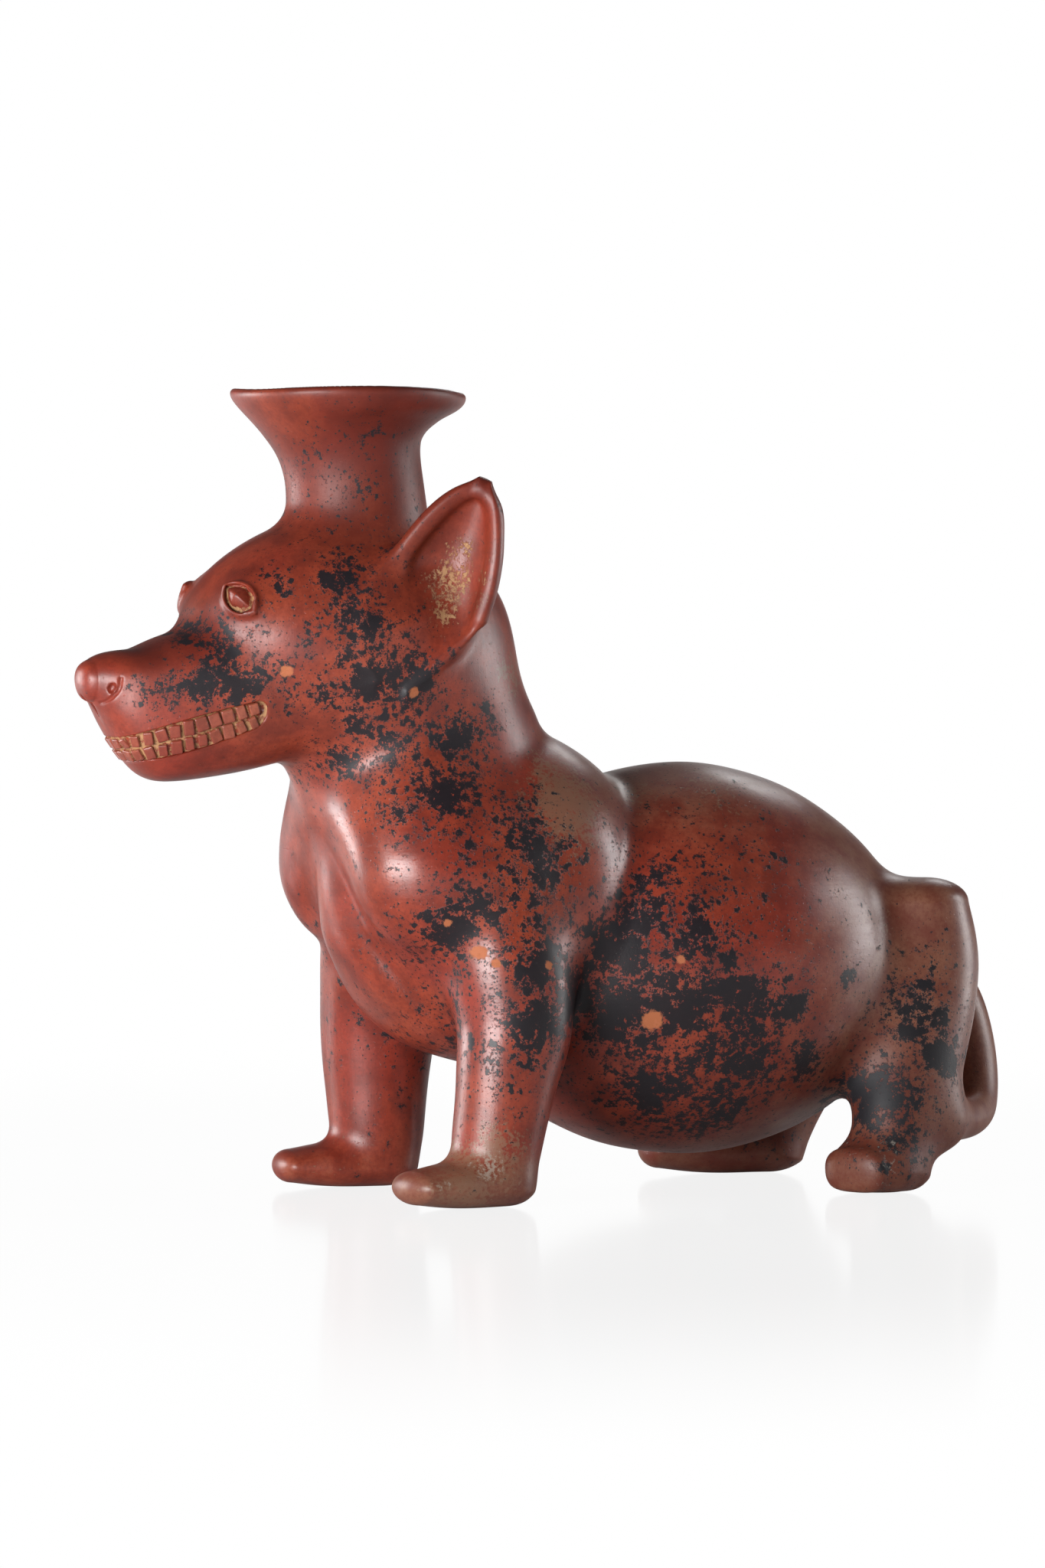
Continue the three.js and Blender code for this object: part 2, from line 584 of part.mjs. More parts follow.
function foreleg(side) {
  const ankle = vec(forelegX, (side * FORELEG_SPACING) / 2, ANKLE_HEIGHT);
  const foot = footRoll(ankle, side, {
    length: FOREFOOT_LENGTH,
    width: FOREFOOT_WIDTH,
    height: FOREFOOT_HEIGHT + SOLE_CUT,
    splay: FOREFOOT_SPLAY,
    heel: FOREFOOT_HEEL,
  });
  const top = vec(forelegX, (side * FORELEG_TOP_SPACING) / 2, chestCenter.z);
  const stations = [
    station(top, FORELEG_TOP_DIAMETER, FORELEG_TOP_DIAMETER),
    station(vec(forelegX, ankle.y, FORELEG_MIDDLE), FORELEG_DIAMETER, FORELEG_DIAMETER),
    station(ankle, ANKLE_DIAMETER, ANKLE_DIAMETER),
    station(vec(ankle.x, ankle.y, FOREFOOT_HEIGHT / 2), ANKLE_DIAMETER, ANKLE_DIAMETER),
  ];
  const leg = roll(stations, ACROSS, { domes: [SOFT, BLUNT] });
  const limb = cut(join(leg, foot), setOn).intersect(ground);
  return part(limb, vec(0, 0, FOREFOOT_HEIGHT + SEAM), 0).map(whole);
}

const haunchX = bellyBack - HAUNCH_INSET;
const shankX = haunchX - SHANK_FORWARD;
const shankY = SHANK_SPACING / 2;

function haunchRoll(side, grow) {
  const ankle = vec(shankX, side * shankY, SHANK_HEIGHT);
  const haunchY = (side * HAUNCH_SPACING) / 2;
  const topRound = (SOFT * HAUNCH_WIDTH) / 2;
  const stations = [
    station(vec(haunchX, haunchY, HAUNCH_TOP - topRound), HAUNCH_WIDTH, HAUNCH_DEPTH),
    station(vec(haunchX, haunchY, (HAUNCH_TOP + HOCK_HEIGHT) / 2), HAUNCH_WIDTH, HAUNCH_DEPTH),
    station(vec((haunchX + shankX) / 2, ankle.y, HOCK_HEIGHT), SHANK_WIDTH, HOCK_DEPTH),
    station(ankle, SHANK_WIDTH, SHANK_DEPTH),
    station(vec(ankle.x, ankle.y, HIND_FOOT_HEIGHT / 2), SHANK_WIDTH, SHANK_DEPTH),
  ];
  return roll(stations, ACROSS, { grow, domes: [SOFT, BLUNT] });
}

function hindLeg(side) {
  const ankle = vec(shankX, side * shankY, SHANK_HEIGHT);
  const foot = footRoll(ankle, side, {
    length: HIND_FOOT_LENGTH,
    width: HIND_FOOT_WIDTH,
    height: HIND_FOOT_HEIGHT + SOLE_CUT,
    splay: HIND_FOOT_SPLAY,
    heel: HIND_FOOT_HEEL,
  });
  const limb = cut(join(haunchRoll(side, 0), foot), setOn).intersect(ground);
  return part(limb, vec(0, 0, HIND_FOOT_HEIGHT + SEAM), 0).map(whole);
}

// Tail
function tail() {
  const back = haunchX + HAUNCH_DEPTH / 2;
  const round = (at, diameter) => station(at, diameter, diameter);
  const stations = [
    round(vec(bellyBack - TAIL_ROOT_SUNK, 0, TAIL_ROOT_HEIGHT), TAIL_ROOT_DIAMETER),
    round(vec(back + TAIL_BEND_REACH, 0, TAIL_BEND_HEIGHT), TAIL_ROOT_DIAMETER),
    round(vec(back + TAIL_CURL_REACH, LEFT * TAIL_CURL_ASIDE, TAIL_CURL_HEIGHT), TAIL_TIP_DIAMETER),
    round(vec(shankX + SHANK_DEPTH / 2, LEFT * shankY, TAIL_TIP_HEIGHT), TAIL_TIP_DIAMETER),
  ];
  const form = roll(stations, ACROSS, { steps: STEPS_BENT });
  return whole(cut(form, setOn, haunchRoll(LEFT, SEAM), haunchRoll(RIGHT, SEAM)));
}

// Breast keel
function keel() {
  const radiusX = CHEST_LENGTH / 2 + KEEL_PROUD;
  const radiusZ = CHEST_HEIGHT / 2 + KEEL_PROUD;
  const stations = [];
  for (let i = 0; i < KEEL_STATIONS; i++) {
    const angle = rad(THREE.MathUtils.lerp(KEEL_TOP_ANGLE, KEEL_LOW_ANGLE, i / (KEEL_STATIONS - 1)));
    const place = vec(-Math.cos(angle) * radiusX, 0, Math.sin(angle) * radiusZ).add(chestCenter);
    stations.push(station(place, KEEL_WIDTH, KEEL_THICKNESS));
  }
  return whole(cut(roll(stations, ACROSS, { steps: STEPS_BENT, domes: [SOFT, SOFT] }), setOn));
}

// Finishes
const slip = (color) => new THREE.MeshStandardMaterial({ color, roughness: 0.38, metalness: 0 });
const RED_SLIP = slip(0x8a3527);
const BROWN_SLIP = slip(0x6f3a2a);
const PALE_CLAY = slip(0xb07a52);

const dog = new THREE.Group();
function add(name, manifold, material) {
  const mesh = new THREE.Mesh(geometryOf(manifold), material);
  mesh.name = name;
  dog.add(mesh);
}

add("belly_bowl", bellyBowl, RED_SLIP);
add("back_dome", backDome, RED_SLIP);
add("chest_shell", chestShell, RED_SLIP);
add("breast_keel", keel(), RED_SLIP);
add("neck_shell", neckShell, RED_SLIP);
add("skull_shell", skullShell, RED_SLIP);
add("muzzle", muzzleShell, RED_SLIP);
add("nose_pad", nosePad, RED_SLIP);
add("upper_teeth", upperTeeth, PALE_CLAY);
add("lower_teeth", lowerTeeth, PALE_CLAY);
add("spout", spout, RED_SLIP);
for (const [label, side] of [
  ["left", LEFT],
  ["right", RIGHT],
]) {
  const [leg, forefoot] = foreleg(side);
  const [haunch, hindFoot] = hindLeg(side);
  add(`${label}_ear`, ear(side), RED_SLIP);
  add(`${label}_eyelid`, eyelid(side), RED_SLIP);
  add(`${label}_eyeball`, eyeball(side), RED_SLIP);
  add(`${label}_foreleg`, leg, RED_SLIP);
  add(`${label}_forefoot`, forefoot, RED_SLIP);
  add(`${label}_haunch`, haunch, BROWN_SLIP);
  add(`${label}_hind_foot`, hindFoot, BROWN_SLIP);
}
add("tail", tail(), BROWN_SLIP);

// The origin is under the middle of the vessel, on the ground.
const bounds = new THREE.Box3().setFromObject(dog);
const center = bounds.getCenter(vec(0, 0, 0));
dog.children.forEach((mesh) => mesh.position.set(-center.x, -center.y, -bounds.min.z));

export default dog;
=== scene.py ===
"""Looks of the dog-shaped vessel: one burnished clay skin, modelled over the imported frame.

The clay is told by signed distances in millimetres, in the frame's own axes: the dog faces -X, its left
side is -Y, and it stands on z = 0. Each piece of the vessel is the part of that clay that its node owns.
"""

from __future__ import annotations

import copy
import json
import logging
import math
from collections.abc import Mapping, Sequence
from concurrent.futures import ThreadPoolExecutor
from dataclasses import dataclass
from enum import Enum
from typing import Any

import bpy
import numpy as np
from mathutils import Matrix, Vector

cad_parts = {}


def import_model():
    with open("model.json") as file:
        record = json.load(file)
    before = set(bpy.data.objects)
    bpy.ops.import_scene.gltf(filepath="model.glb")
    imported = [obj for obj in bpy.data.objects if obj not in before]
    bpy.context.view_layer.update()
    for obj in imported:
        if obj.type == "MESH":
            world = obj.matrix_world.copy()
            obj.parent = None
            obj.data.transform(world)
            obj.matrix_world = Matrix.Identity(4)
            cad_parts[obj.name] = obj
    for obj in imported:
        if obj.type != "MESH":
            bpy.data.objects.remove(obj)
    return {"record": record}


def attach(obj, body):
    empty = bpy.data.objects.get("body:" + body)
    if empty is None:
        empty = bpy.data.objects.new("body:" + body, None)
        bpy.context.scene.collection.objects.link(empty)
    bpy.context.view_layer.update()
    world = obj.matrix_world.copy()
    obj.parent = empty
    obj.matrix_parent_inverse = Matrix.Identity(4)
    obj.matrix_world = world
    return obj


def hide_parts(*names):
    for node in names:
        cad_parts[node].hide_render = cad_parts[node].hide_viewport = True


LOG = logging.getLogger("dog_vessel")
BODY = "root"
Array = np.ndarray
Object = bpy.types.Object
Tree = bpy.types.NodeTree
Plug = bpy.types.NodeSocket
Colour = tuple[float, float, float, float]
Point = tuple[float, float, float]
Pair = tuple[float, float]
Sections = tuple[tuple[float, ...], ...]

# A millimetre in metres, a distance past all the clay, and the smear of a join that is left crisp
MM = 0.001
FAR = 1.0e3
CRISP = 1.0


class Side(Enum):
    """The two sides of the dog, with the sign of their Y."""

    LEFT = -1
    RIGHT = 1

    @property
    def word(self) -> str:
        """The side's name, as the nodes spell it."""
        return self.name.lower()


# Arithmetic of clay


def vec(x: float, y: float, z: float) -> Array:
    """A point or direction."""
    return np.array((x, y, z), float)


def unit(v: Array) -> Array:
    """The direction of v, of length one."""
    return v / np.linalg.norm(v)


ACROSS = vec(0, 1, 0)


def mirrored(point: Point, side: Side) -> Array:
    """A point written for the right side, on the side asked for."""
    return vec(point[0], point[1] * side.value, point[2])


@dataclass(frozen=True)
class Fade:
    """A smear whose width changes along the dog, between two places on X."""

    front_at: float
    front: float
    back_at: float
    back: float

    @property
    def widest(self) -> float:
        """The width where it is widest."""
        return max(self.front, self.back)

    def at(self, p: Array) -> Array:
        """The width at each point."""
        share = np.clip((p[:, 0] - self.front_at) / (self.back_at - self.front_at), 0, 1)
        return self.front + (self.back - self.front) * share


Blend = float | Fade


def joined(a: Array, b: Array, blend: float | Array) -> Array:
    """Two lumps of clay smeared together.

    Args:
        a: distances to the first lump.
        b: distances to the second lump.
        blend: how wide the smear is.

    Returns:
        Distances to both.
    """
    share = np.clip(1.0 - np.abs(a - b) / blend, 0.0, 1.0)
    return np.minimum(a, b) - 0.25 * blend * share * share


def cut_away(a: Array, b: Array, blend: float | Array) -> Array:
    """The first lump without the second, its edge rounded by blend."""
    return -joined(-a, b, blend)


def smooth_line(knots: Array, count: int) -> Array:
    """Points on a Catmull-Rom line through knots, one row each.

    Args:
        knots: rows that the line goes through.
        count: how many points to give.

    Returns:
        An array of count rows.
    """
    first = 2 * knots[0] - knots[1]
    last = 2 * knots[-1] - knots[-2]
    padded = np.vstack([first, knots, last])
    at = np.linspace(0, len(knots) - 1, count)
    i = np.minimum(at.astype(int), len(knots) - 2)
    t = (at - i)[:, None]
    a, b, c, d = (padded[i + k] for k in range(4))
    return 0.5 * (
        2 * b + (c - a) * t + (2 * a - 5 * b + 4 * c - d) * t**2 + (3 * b - a - 3 * c + d) * t**3
    )


class Form:
    """A shape told by its signed distance."""

    centre: Array
    radius: float

    def distance(self, p: Array) -> Array:
        """Distances of points, negative inside.

        Args:
            p: points, one row each.

        Returns:
            One distance for each point.
        """
        raise NotImplementedError

    def at_least(self, p: Array) -> Array:
        """A quick lower bound of the distances of points."""
        return np.linalg.norm(p - self.centre, axis=1) - self.radius


# Directions and step for feeling a slope, and how often a point is moved before it lies on a skin
WAYS = np.array([(1, 1, 1), (1, -1, -1), (-1, 1, -1), (-1, -1, 1)], float)
FEEL = 0.35
LAYING_PASSES = 5


def uphill(form: Form, p: Array) -> Array:
    """The directions in which points leave a form quickest."""
    slope = sum(way * form.distance(p + FEEL * way)[:, None] for way in WAYS)
    return slope / np.maximum(np.linalg.norm(slope, axis=1, keepdims=True), 1e-9)


def laid_on(form: Form, p: Array, sunk: float = 0.0) -> Array:
    """Points moved on to a form's skin, or that far under it."""
    for _ in range(LAYING_PASSES):
        p = p - (form.distance(p) + sunk)[:, None] * uphill(form, p)
    return p


def oval_distance(q: Array, semis: Array, square: float = 2.0) -> Array:
    """Distances to an oval centred on the origin.

    Args:
        q: points, one row each.
        semis: its half sizes.
        square: 2 for a true oval, more for one with squarer corners, less for one with points.

    Returns:
        One distance for each point, negative inside.
    """
    if square == 2.0:
        k0 = np.sqrt(((q / semis) ** 2).sum(1))
        k1 = np.sqrt(((q / semis**2) ** 2).sum(1))
        return k0 * (k0 - 1.0) / np.maximum(k1, 1e-6)
    part = np.abs(q / semis)
    k0 = np.maximum((part**square).sum(1), 1e-9) ** (1 / square)
    k1 = np.sqrt(((part ** (square - 1) / semis) ** 2).sum(1)) * k0 ** (1 - square)
    return (k0 - 1.0) / np.maximum(k1, 1e-6)


class Egg(Form):
    """An ellipsoid of clay."""

    def __init__(
        self,
        centre: Array | Point,
        semis: Array | Point,
        axes: Array | None = None,
        slump: float = 0.0,
        square: float = 2.0,
    ) -> None:
        """Keep the egg's sizes.

        Args:
            centre: its middle.
            semis: its half sizes.
            axes: its three directions, one row each.
            slump: how much its upper back sinks, or its upper front if negative, against its half height.
            square: 2 for a true oval, less for one with a point at each end.
        """
        self.square = square
        self.centre = np.asarray(centre, float)
        self.semis = np.asarray(semis, float)
        self.axes = axes
        self.slump = slump
        self.radius = float(self.semis.max())

    def distance(self, p: Array) -> Array:
        """Distances, negative inside."""
        q = p - self.centre
        if self.axes is not None:
            q = q @ self.axes.T
        if self.slump:
            share = np.clip(math.copysign(1, self.slump) * q[:, 0] / self.semis[0], 0, 1)
            q = q.copy()
            q[:, 2] /= np.where(q[:, 2] > 0, 1 - abs(self.slump) * share**2, 1)
        return oval_distance(q, self.semis, self.square)


@dataclass(frozen=True)
class Station:
    """One oval section of a roll, which may reach further down than up."""

    at: Array
    width: float
    height: float
    sag: float = 0.0


class Roll(Form):
    """A rolled form: oval sections along a smooth line, with a dome at each end.

    Each of its rows holds a place on the line, three directions there and three half sizes.
    """

    SAMPLES = 72
    FINER = 8
    PASSES = 3
    FLATTEST_DOME = 0.1
    PLACE, ALONG, ASIDE, UP = slice(0, 3), slice(3, 6), slice(6, 9), slice(9, 12)
    WIDE, TALL, DEEP = 12, 13, 14

    def __init__(
        self,
        stations: Sequence[Station],
        side: Array,
        ends: Pair = (1.0, 1.0),
        square: float = 2.0,
    ) -> None:
        """Lay out the roll.

        Args:
            stations: the sections, from end to end.
            side: the direction in which a section's width lies.
            ends: the height of each dome, against half the thickness there.
            square: 2 for oval sections, more for squarer ones.
        """
        self.square = square
        knots = np.array([[*s.at, s.width / 2, s.height / 2 - s.sag, s.height / 2 + s.sag] for s in stations])
        dense = smooth_line(knots, self.FINER * self.SAMPLES)
        steps = np.linalg.norm(np.diff(dense[:, :3], axis=0), axis=1)
        arc = np.concatenate([[0.0], np.cumsum(steps)])
        length = float(arc[-1])
        self.step = length / (self.SAMPLES - 1)
        even = np.linspace(0, length, self.SAMPLES)
        line = np.stack([np.interp(even, arc, column) for column in dense.T], axis=1)
        along = np.gradient(line[:, :3], axis=0)
        along /= np.linalg.norm(along, axis=1, keepdims=True)
        across = side - (along @ side)[:, None] * along
        across /= np.linalg.norm(across, axis=1, keepdims=True)
        up = np.cross(along, across)
        self.rows = np.hstack([line[:, :3], along, across, up, line[:, 3:]])
        self.domes = (ends[0] * line[0, 3:].min(), ends[1] * line[-1, 3:].min())
        self.centre = line[:, :3].mean(0)
        spread = np.linalg.norm(line[:, :3] - self.centre, axis=1) + line[:, 3:].max(1)
        self.radius = float(spread.max() + max(self.domes))

    def row(self, along: Array) -> Array:
        """The roll's rows, that many samples along it."""
        i = np.minimum(along.astype(int), len(self.rows) - 2)
        share = (along - i)[:, None]
        return self.rows[i] * (1 - share) + self.rows[i + 1] * share

    def distance(self, p: Array) -> Array:
        """Distances, negative inside."""
        line = self.rows[:, self.PLACE]
        near = ((line**2).sum(1) - 2 * (p @ line.T)).argmin(1)
        along = near.astype(float)
        for _ in range(self.PASSES):
            row = self.row(along)
            ahead = ((p - row[:, self.PLACE]) * row[:, self.ALONG]).sum(1)
            along = np.clip(along + ahead / self.step, 0, len(line) - 1)
        row = self.row(along)
        q = p - row[:, self.PLACE]
        beyond, u, v = ((q * row[:, way]).sum(1) for way in (self.ALONG, self.ASIDE, self.UP))
        at_start = (along <= 0) & (beyond < 0)
        at_end = (along >= len(line) - 1) & (beyond > 0)
        beyond = np.where(at_start | at_end, beyond, 0.0)
        dome = np.maximum(np.where(at_start, *self.domes), self.FLATTEST_DOME)
        tall = np.where(v > 0, row[:, self.TALL], row[:, self.DEEP])
        semis = np.stack([row[:, self.WIDE], tall, dome], axis=1)
        return oval_distance(np.stack([u, v, beyond], axis=1), semis, self.square)


class Clay(Form):
    """Lumps joined to each other, in order."""

    def __init__(self, centre: Array, radius: float) -> None:
        """Start with no clay.

        Args:
            centre: middle of a ball that holds all of it.
            radius: of that ball.
        """
        self.centre = np.asarray(centre, float)
        self.radius = radius
        self.lumps: list[tuple[Form, Blend]] = []

    def add(self, form: Form, blend: Blend) -> "Clay":
        """Join a lump on, and give the clay back."""
        self.lumps.append((form, blend))
        return self

    def around(self, block: "Block") -> "Clay":
        """The clay that can matter in a block of space."""
        part = Clay(self.centre, self.radius)
        part.lumps = [lump for lump in self.lumps if block.meets(lump[0])]
        return part

    def distance(self, p: Array) -> Array:
        """Distances, negative inside."""
        out = np.full(len(p), FAR)
        for form, blend in self.lumps:
            apply_step(out, p, form, blend)
        return out


@dataclass(frozen=True)
class Block:
    """A block of space, with how near a form must come to matter in it."""

    low: Array
    high: Array
    reach: float = 26.0

    def meets(self, form: Form) -> bool:
        """Whether a form comes near."""
        nearest = np.clip(form.centre, self.low, self.high)
        return bool(np.linalg.norm(form.centre - nearest) < form.radius + self.reach)


def apply_step(out: Array, p: Array, form: Form, blend: Blend, carves: bool = False) -> None:
    """Join or cut one form, in place, where it can matter.

    Args:
        out: distances so far.
        p: the points that they belong to.
        form: what is joined or cut.
        blend: width of the smear.
        carves: whether it is cut.
    """
    widest = blend.widest if isinstance(blend, Fade) else blend
    near = np.nonzero(form.at_least(p) < (-out if carves else out) + widest)[0]
    if len(near):
        d = form.distance(p[near])
        width = blend.at(p[near]) if isinstance(blend, Fade) else blend
        out[near] = (cut_away if carves else joined)(out[near], d, width)


@dataclass(frozen=True)
class Seam:
    """A plane between two pieces, tilted about Y, with its beyond side up or forward."""

    x: float
    z: float
    tilt: float

    def beyond(self, p: Array) -> Array:
        """How far points lie beyond the seam."""
        turn = math.radians(self.tilt)
        return (p[:, 0] - self.x) * math.sin(turn) + (p[:, 2] - self.z) * math.cos(turn)


# The dog's sub-assemblies


@dataclass(frozen=True)
class Trunk:
    """Belly, chest, shoulders, breast keel and neck."""

    belly: Point = (60.9, 0.0, 89.0)
    belly_semis: Point = (94.0, 74.0, 75.5)
    belly_slump: float = 0.125
    chest: Point = (-20.1, 0.0, 116.0)
    chest_semis: Point = (61.0, 65.0, 64.0)
    waist_blend: float = 6.5
    pectoral: Point = (-54.5, 26.0, 143.0)
    pectoral_semis: Point = (36.0, 26.0, 29.0)
    shoulder: Point = (-51.0, 33.5, 128.0)
    shoulder_semis: Point = (39.5, 31.0, 38.0)
    shoulder_lean: float = 18.0
    shoulder_blend: float = 9.0
    keel_widths: tuple[float, ...] = (12.0, 15.0, 28.0, 44.0, 54.0, 56.0)
    keel_thickness: float = 14.0
    keel_prouds: tuple[float, ...] = (2.0, 2.0, 0.0, -3.0, -4.5, -6.0)
    keel_angles: Pair = (44.0, -82.0)
    keel_ends: Pair = (0.6, 0.6)
    keel_blend: float = 7.0
    neck_base: Pair = (84.0, 78.0)
    neck_throat: Pair = (92.0, 98.0)
    neck_top: Pair = (80.0, 82.0)
    neck_ends: Pair = (0.3, 0.3)
    neck_base_at: Point = (-40.0, 0.0, 116.0)
    neck_throat_at: Point = (-48.5, 0.0, 162.0)
    neck_top_at: Point = (-73.0, 0.0, 214.0)
    neck_blend: Fade = Fade(-75.0, 13.0, -15.0, 5.0)
    waist: Seam = Seam(6.9, 116.0, -66.0)
    neck_seam: Seam = Seam(-46.1, 162.0, -16.0)
    belly_seam: float = 89.0

    def build(self, clay: Clay, wall: float) -> None:
        """Join the trunk's hollow forms to the clay.

        Args:
            clay: what they are joined to.
            wall: how much smaller each is made, for the cavity.
        """
        smaller = np.full(3, wall)
        clay.add(Egg(self.belly, np.array(self.belly_semis) - smaller, slump=self.belly_slump), CRISP)
        clay.add(Egg(self.chest, np.array(self.chest_semis) - smaller), self.waist_blend)
        for side in Side:
            lean = math.radians(self.shoulder_lean) * side.value
            c, s = math.cos(lean), math.sin(lean)
            axes = np.array([(1, 0, 0), (0, c, s), (0, -s, c)])
            shoulder = Egg(mirrored(self.shoulder, side), np.array(self.shoulder_semis) - smaller, axes)
            clay.add(shoulder, self.shoulder_blend)
            pectoral = Egg(mirrored(self.pectoral, side), np.array(self.pectoral_semis) - smaller)
            clay.add(pectoral, self.shoulder_blend)
        places = (self.neck_base_at, self.neck_throat_at, self.neck_top_at)
        sizes = (self.neck_base, self.neck_throat, self.neck_top)
        stations = [Station(np.array(at), w - 2 * wall, d - 2 * wall) for at, (w, d) in zip(places, sizes)]
        clay.add(Roll(stations, ACROSS, self.neck_ends), self.neck_blend)

    def keel(self) -> Roll:
        """The flat band down the breast, between the shoulders."""
        stations = []
        angles = np.radians(np.linspace(*self.keel_angles, len(self.keel_widths)))
        for angle, width, proud in zip(angles, self.keel_widths, self.keel_prouds):
            reach = np.array(self.chest_semis) + proud
            at = np.array(self.chest) + vec(-math.cos(angle) * reach[0], 0, math.sin(angle) * reach[2])
            stations.append(Station(at, width, self.keel_thickness))
        return Roll(stations, ACROSS, self.keel_ends)


class Almond(Form):
    """The ring of clay round an eye, and what lies inside its pointed outline."""

    def __init__(self, place: Array, axes: Array, length: float, height: float, tube: float) -> None:
        """Keep the ring's sizes.

        Args:
            place: its middle.
            axes: level, upright and outward directions, one row each.
            length: from corner to corner, at the middle of the ring.
            height: across that.
            tube: radius of the ring's clay.
        """
        self.centre = place
        self.axes = axes
        self.tube = tube
        self.radius = length / 2 + 2 * tube
        half, rise = length / 2, height / 2
        self.arc = (half * half + rise * rise) / (2 * rise)
        self.drop = self.arc - rise

    def outline(self, q: Array) -> Array:
        """Distances to the pointed outline in the eye's own plane, negative inside."""
        return np.hypot(q[:, 0], np.abs(q[:, 1]) + self.drop) - self.arc

    def local(self, p: Array) -> Array:
        """Points in the eye's own axes."""
        return (p - self.centre) @ self.axes.T

    def distance(self, p: Array) -> Array:
        """Distances to the ring, negative inside."""
        q = self.local(p)
        return np.hypot(self.outline(q), q[:, 2]) - self.tube


class EyeHollow(Form):
    """The hollow inside an eye's ring."""

    def __init__(self, ring: Almond, depth: float) -> None:
        """Keep the ring and the depth of the hollow under it."""
        self.ring = ring
        self.depth = depth
        self.centre = ring.centre
        self.radius = ring.radius + depth

    def distance(self, p: Array) -> Array:
        """Distances to the hollow, negative inside."""
        q = self.ring.local(p)
        return np.maximum(self.ring.outline(q), -q[:, 2] - self.depth)


@dataclass(frozen=True)
class Head:
    """Skull, brows, muzzle, nose, eyes and the mouth's channel.

    Muzzle sections are (x, width, top, bottom). Grooves are scored along points on the right side.
    """

    skull: Point = (-80.6, 0.0, 214.0)
    skull_semis: Point = (65.5, 46.0, 45.5)
    skull_slump: float = -0.13
    skull_blend: float = 16.0
    eye_azimuth: float = 34.0
    eye_elevation: float = 17.0
    brow_radius: float = 12.0
    brow_proud: float = 2.0
    brow_blend: float = 6.0
    eye_length: float = 16.5
    eye_height: float = 10.0
    eye_tilt: float = -38.0
    eyelid_tube: float = 0.8
    eyelid_blend: float = 3.0
    eye_depth: float = 1.5
    eye_edge: float = 0.8
    pellet_semis: Point = (6.6, 4.5, 4.6)
    pellet_square: float = 1.35
    pellet_shift: float = -0.8
    pellet_blend: float = 0.8
    muzzle_axis: Pair = (199.0, 196.0)
    muzzle_square: float = 2.5
    muzzle_ends: Pair = (0.3, 0.6)
    muzzle_sections: Sections = (
        (-102.6, 66.0, 232.0, 168.0),
        (-130.0, 59.0, 221.6, 162.2),
        (-151.6, 50.0, 214.4, 159.4),
        (-163.0, 43.0, 210.0, 161.2),
        (-171.5, 36.0, 207.6, 169.5),
        (-178.5, 26.0, 205.0, 180.5),
        (-183.5, 13.0, 202.5, 190.5),
    )
    muzzle_blend: float = 6.0
    nose: Point = (-176.3, 0.0, 198.6)
    nose_semis: Point = (10.0, 10.5, 8.0)
    nose_blend: float = 8.0
    mouth_front: Pair = (-177.1, 171.0)
    mouth_length: float = 53.0
    mouth_furthest: float = 1.4
    mouth_rise: float = 15.0
    mouth_bend: float = 1.15
    mouth_ends: float = 9.4
    mouth_middle: float = 12.4
    mouth_depth: float = 1.2
    mouth_corner: float = 4.0
    mouth_edge: float = 0.8
    nostril: tuple[Point, ...] = (
        (-176.0, 13.0, 198.0),
        (-177.0, 13.0, 194.0),
        (-179.5, 9.5, 190.5),
        (-181.0, 6.0, 189.5),
    )
    nostril_width: float = 1.4
    nostril_pit: Point = (-179.0, 11.0, 194.5)
    nostril_pit_size: float = 3.0
    mouth_pit: Point = (-127.0, 29.0, 185.5)
    mouth_pit_size: float = 4.2
    lip_groove: tuple[Point, ...] = ((-187.0, 0.0, 191.0), (-184.0, 0.0, 186.0), (-179.0, 0.0, 177.0))
    lip_groove_width: float = 1.5
    pit_slant: Point = (0.6, 0.0, 0.9)
    score_side: Point = (0.3, 0.2, 1.0)
    score_edge: float = 0.7
    head_seam: Seam = Seam(-62.6, 188.0, -23.0)
    muzzle_seam: Seam = Seam(-120.6, 188.0, -112.0)

    def build(self, clay: Clay, wall: float) -> None:
        """Join the skull to the clay, smaller by a wall for the cavity."""
        clay.add(Egg(self.skull, np.array(self.skull_semis) - wall, slump=self.skull_slump), self.skull_blend)

    def build_face(self, clay: Clay) -> None:
        """Join the brows and the muzzle, which are modelled solid."""
        for side in Side:
            point, normal = self.on_skull(self.eye_azimuth, self.eye_elevation, side)
            centre = point + normal * (self.brow_proud - self.brow_radius)
            clay.add(Egg(centre, (self.brow_radius,) * 3), self.brow_blend)
        clay.add(self.muzzle(), self.muzzle_blend)

    def muzzle(self) -> Roll:
        """The blunt wedge of the muzzle."""
        back, front = self.muzzle_sections[0][0], self.muzzle_sections[-1][0]
        stations = []
        for x, width, top, bottom in self.muzzle_sections:
            level = np.interp(x, (front, back), self.muzzle_axis[::-1])
            stations.append(Station(vec(x, 0, level), width, top - bottom, (top + bottom) / -2 + level))
        return Roll(stations, -ACROSS, self.muzzle_ends, self.muzzle_square)

    def on_skull(self, azimuth: float, elevation: float, side: Side) -> tuple[Array, Array]:
        """A point on the skull and the normal there.

        Args:
            azimuth: to the side of straight ahead, in degrees.
            elevation: above the skull's middle, in degrees.
            side: of the dog.

        Returns:
            The point and the normal.
        """
        a, e = math.radians(azimuth), math.radians(elevation)
        way = vec(-math.cos(a) * math.cos(e), side.value * math.sin(a) * math.cos(e), math.sin(e))
        semis = np.array(self.skull_semis)
        return np.array(self.skull) + way * semis, unit(way / semis)

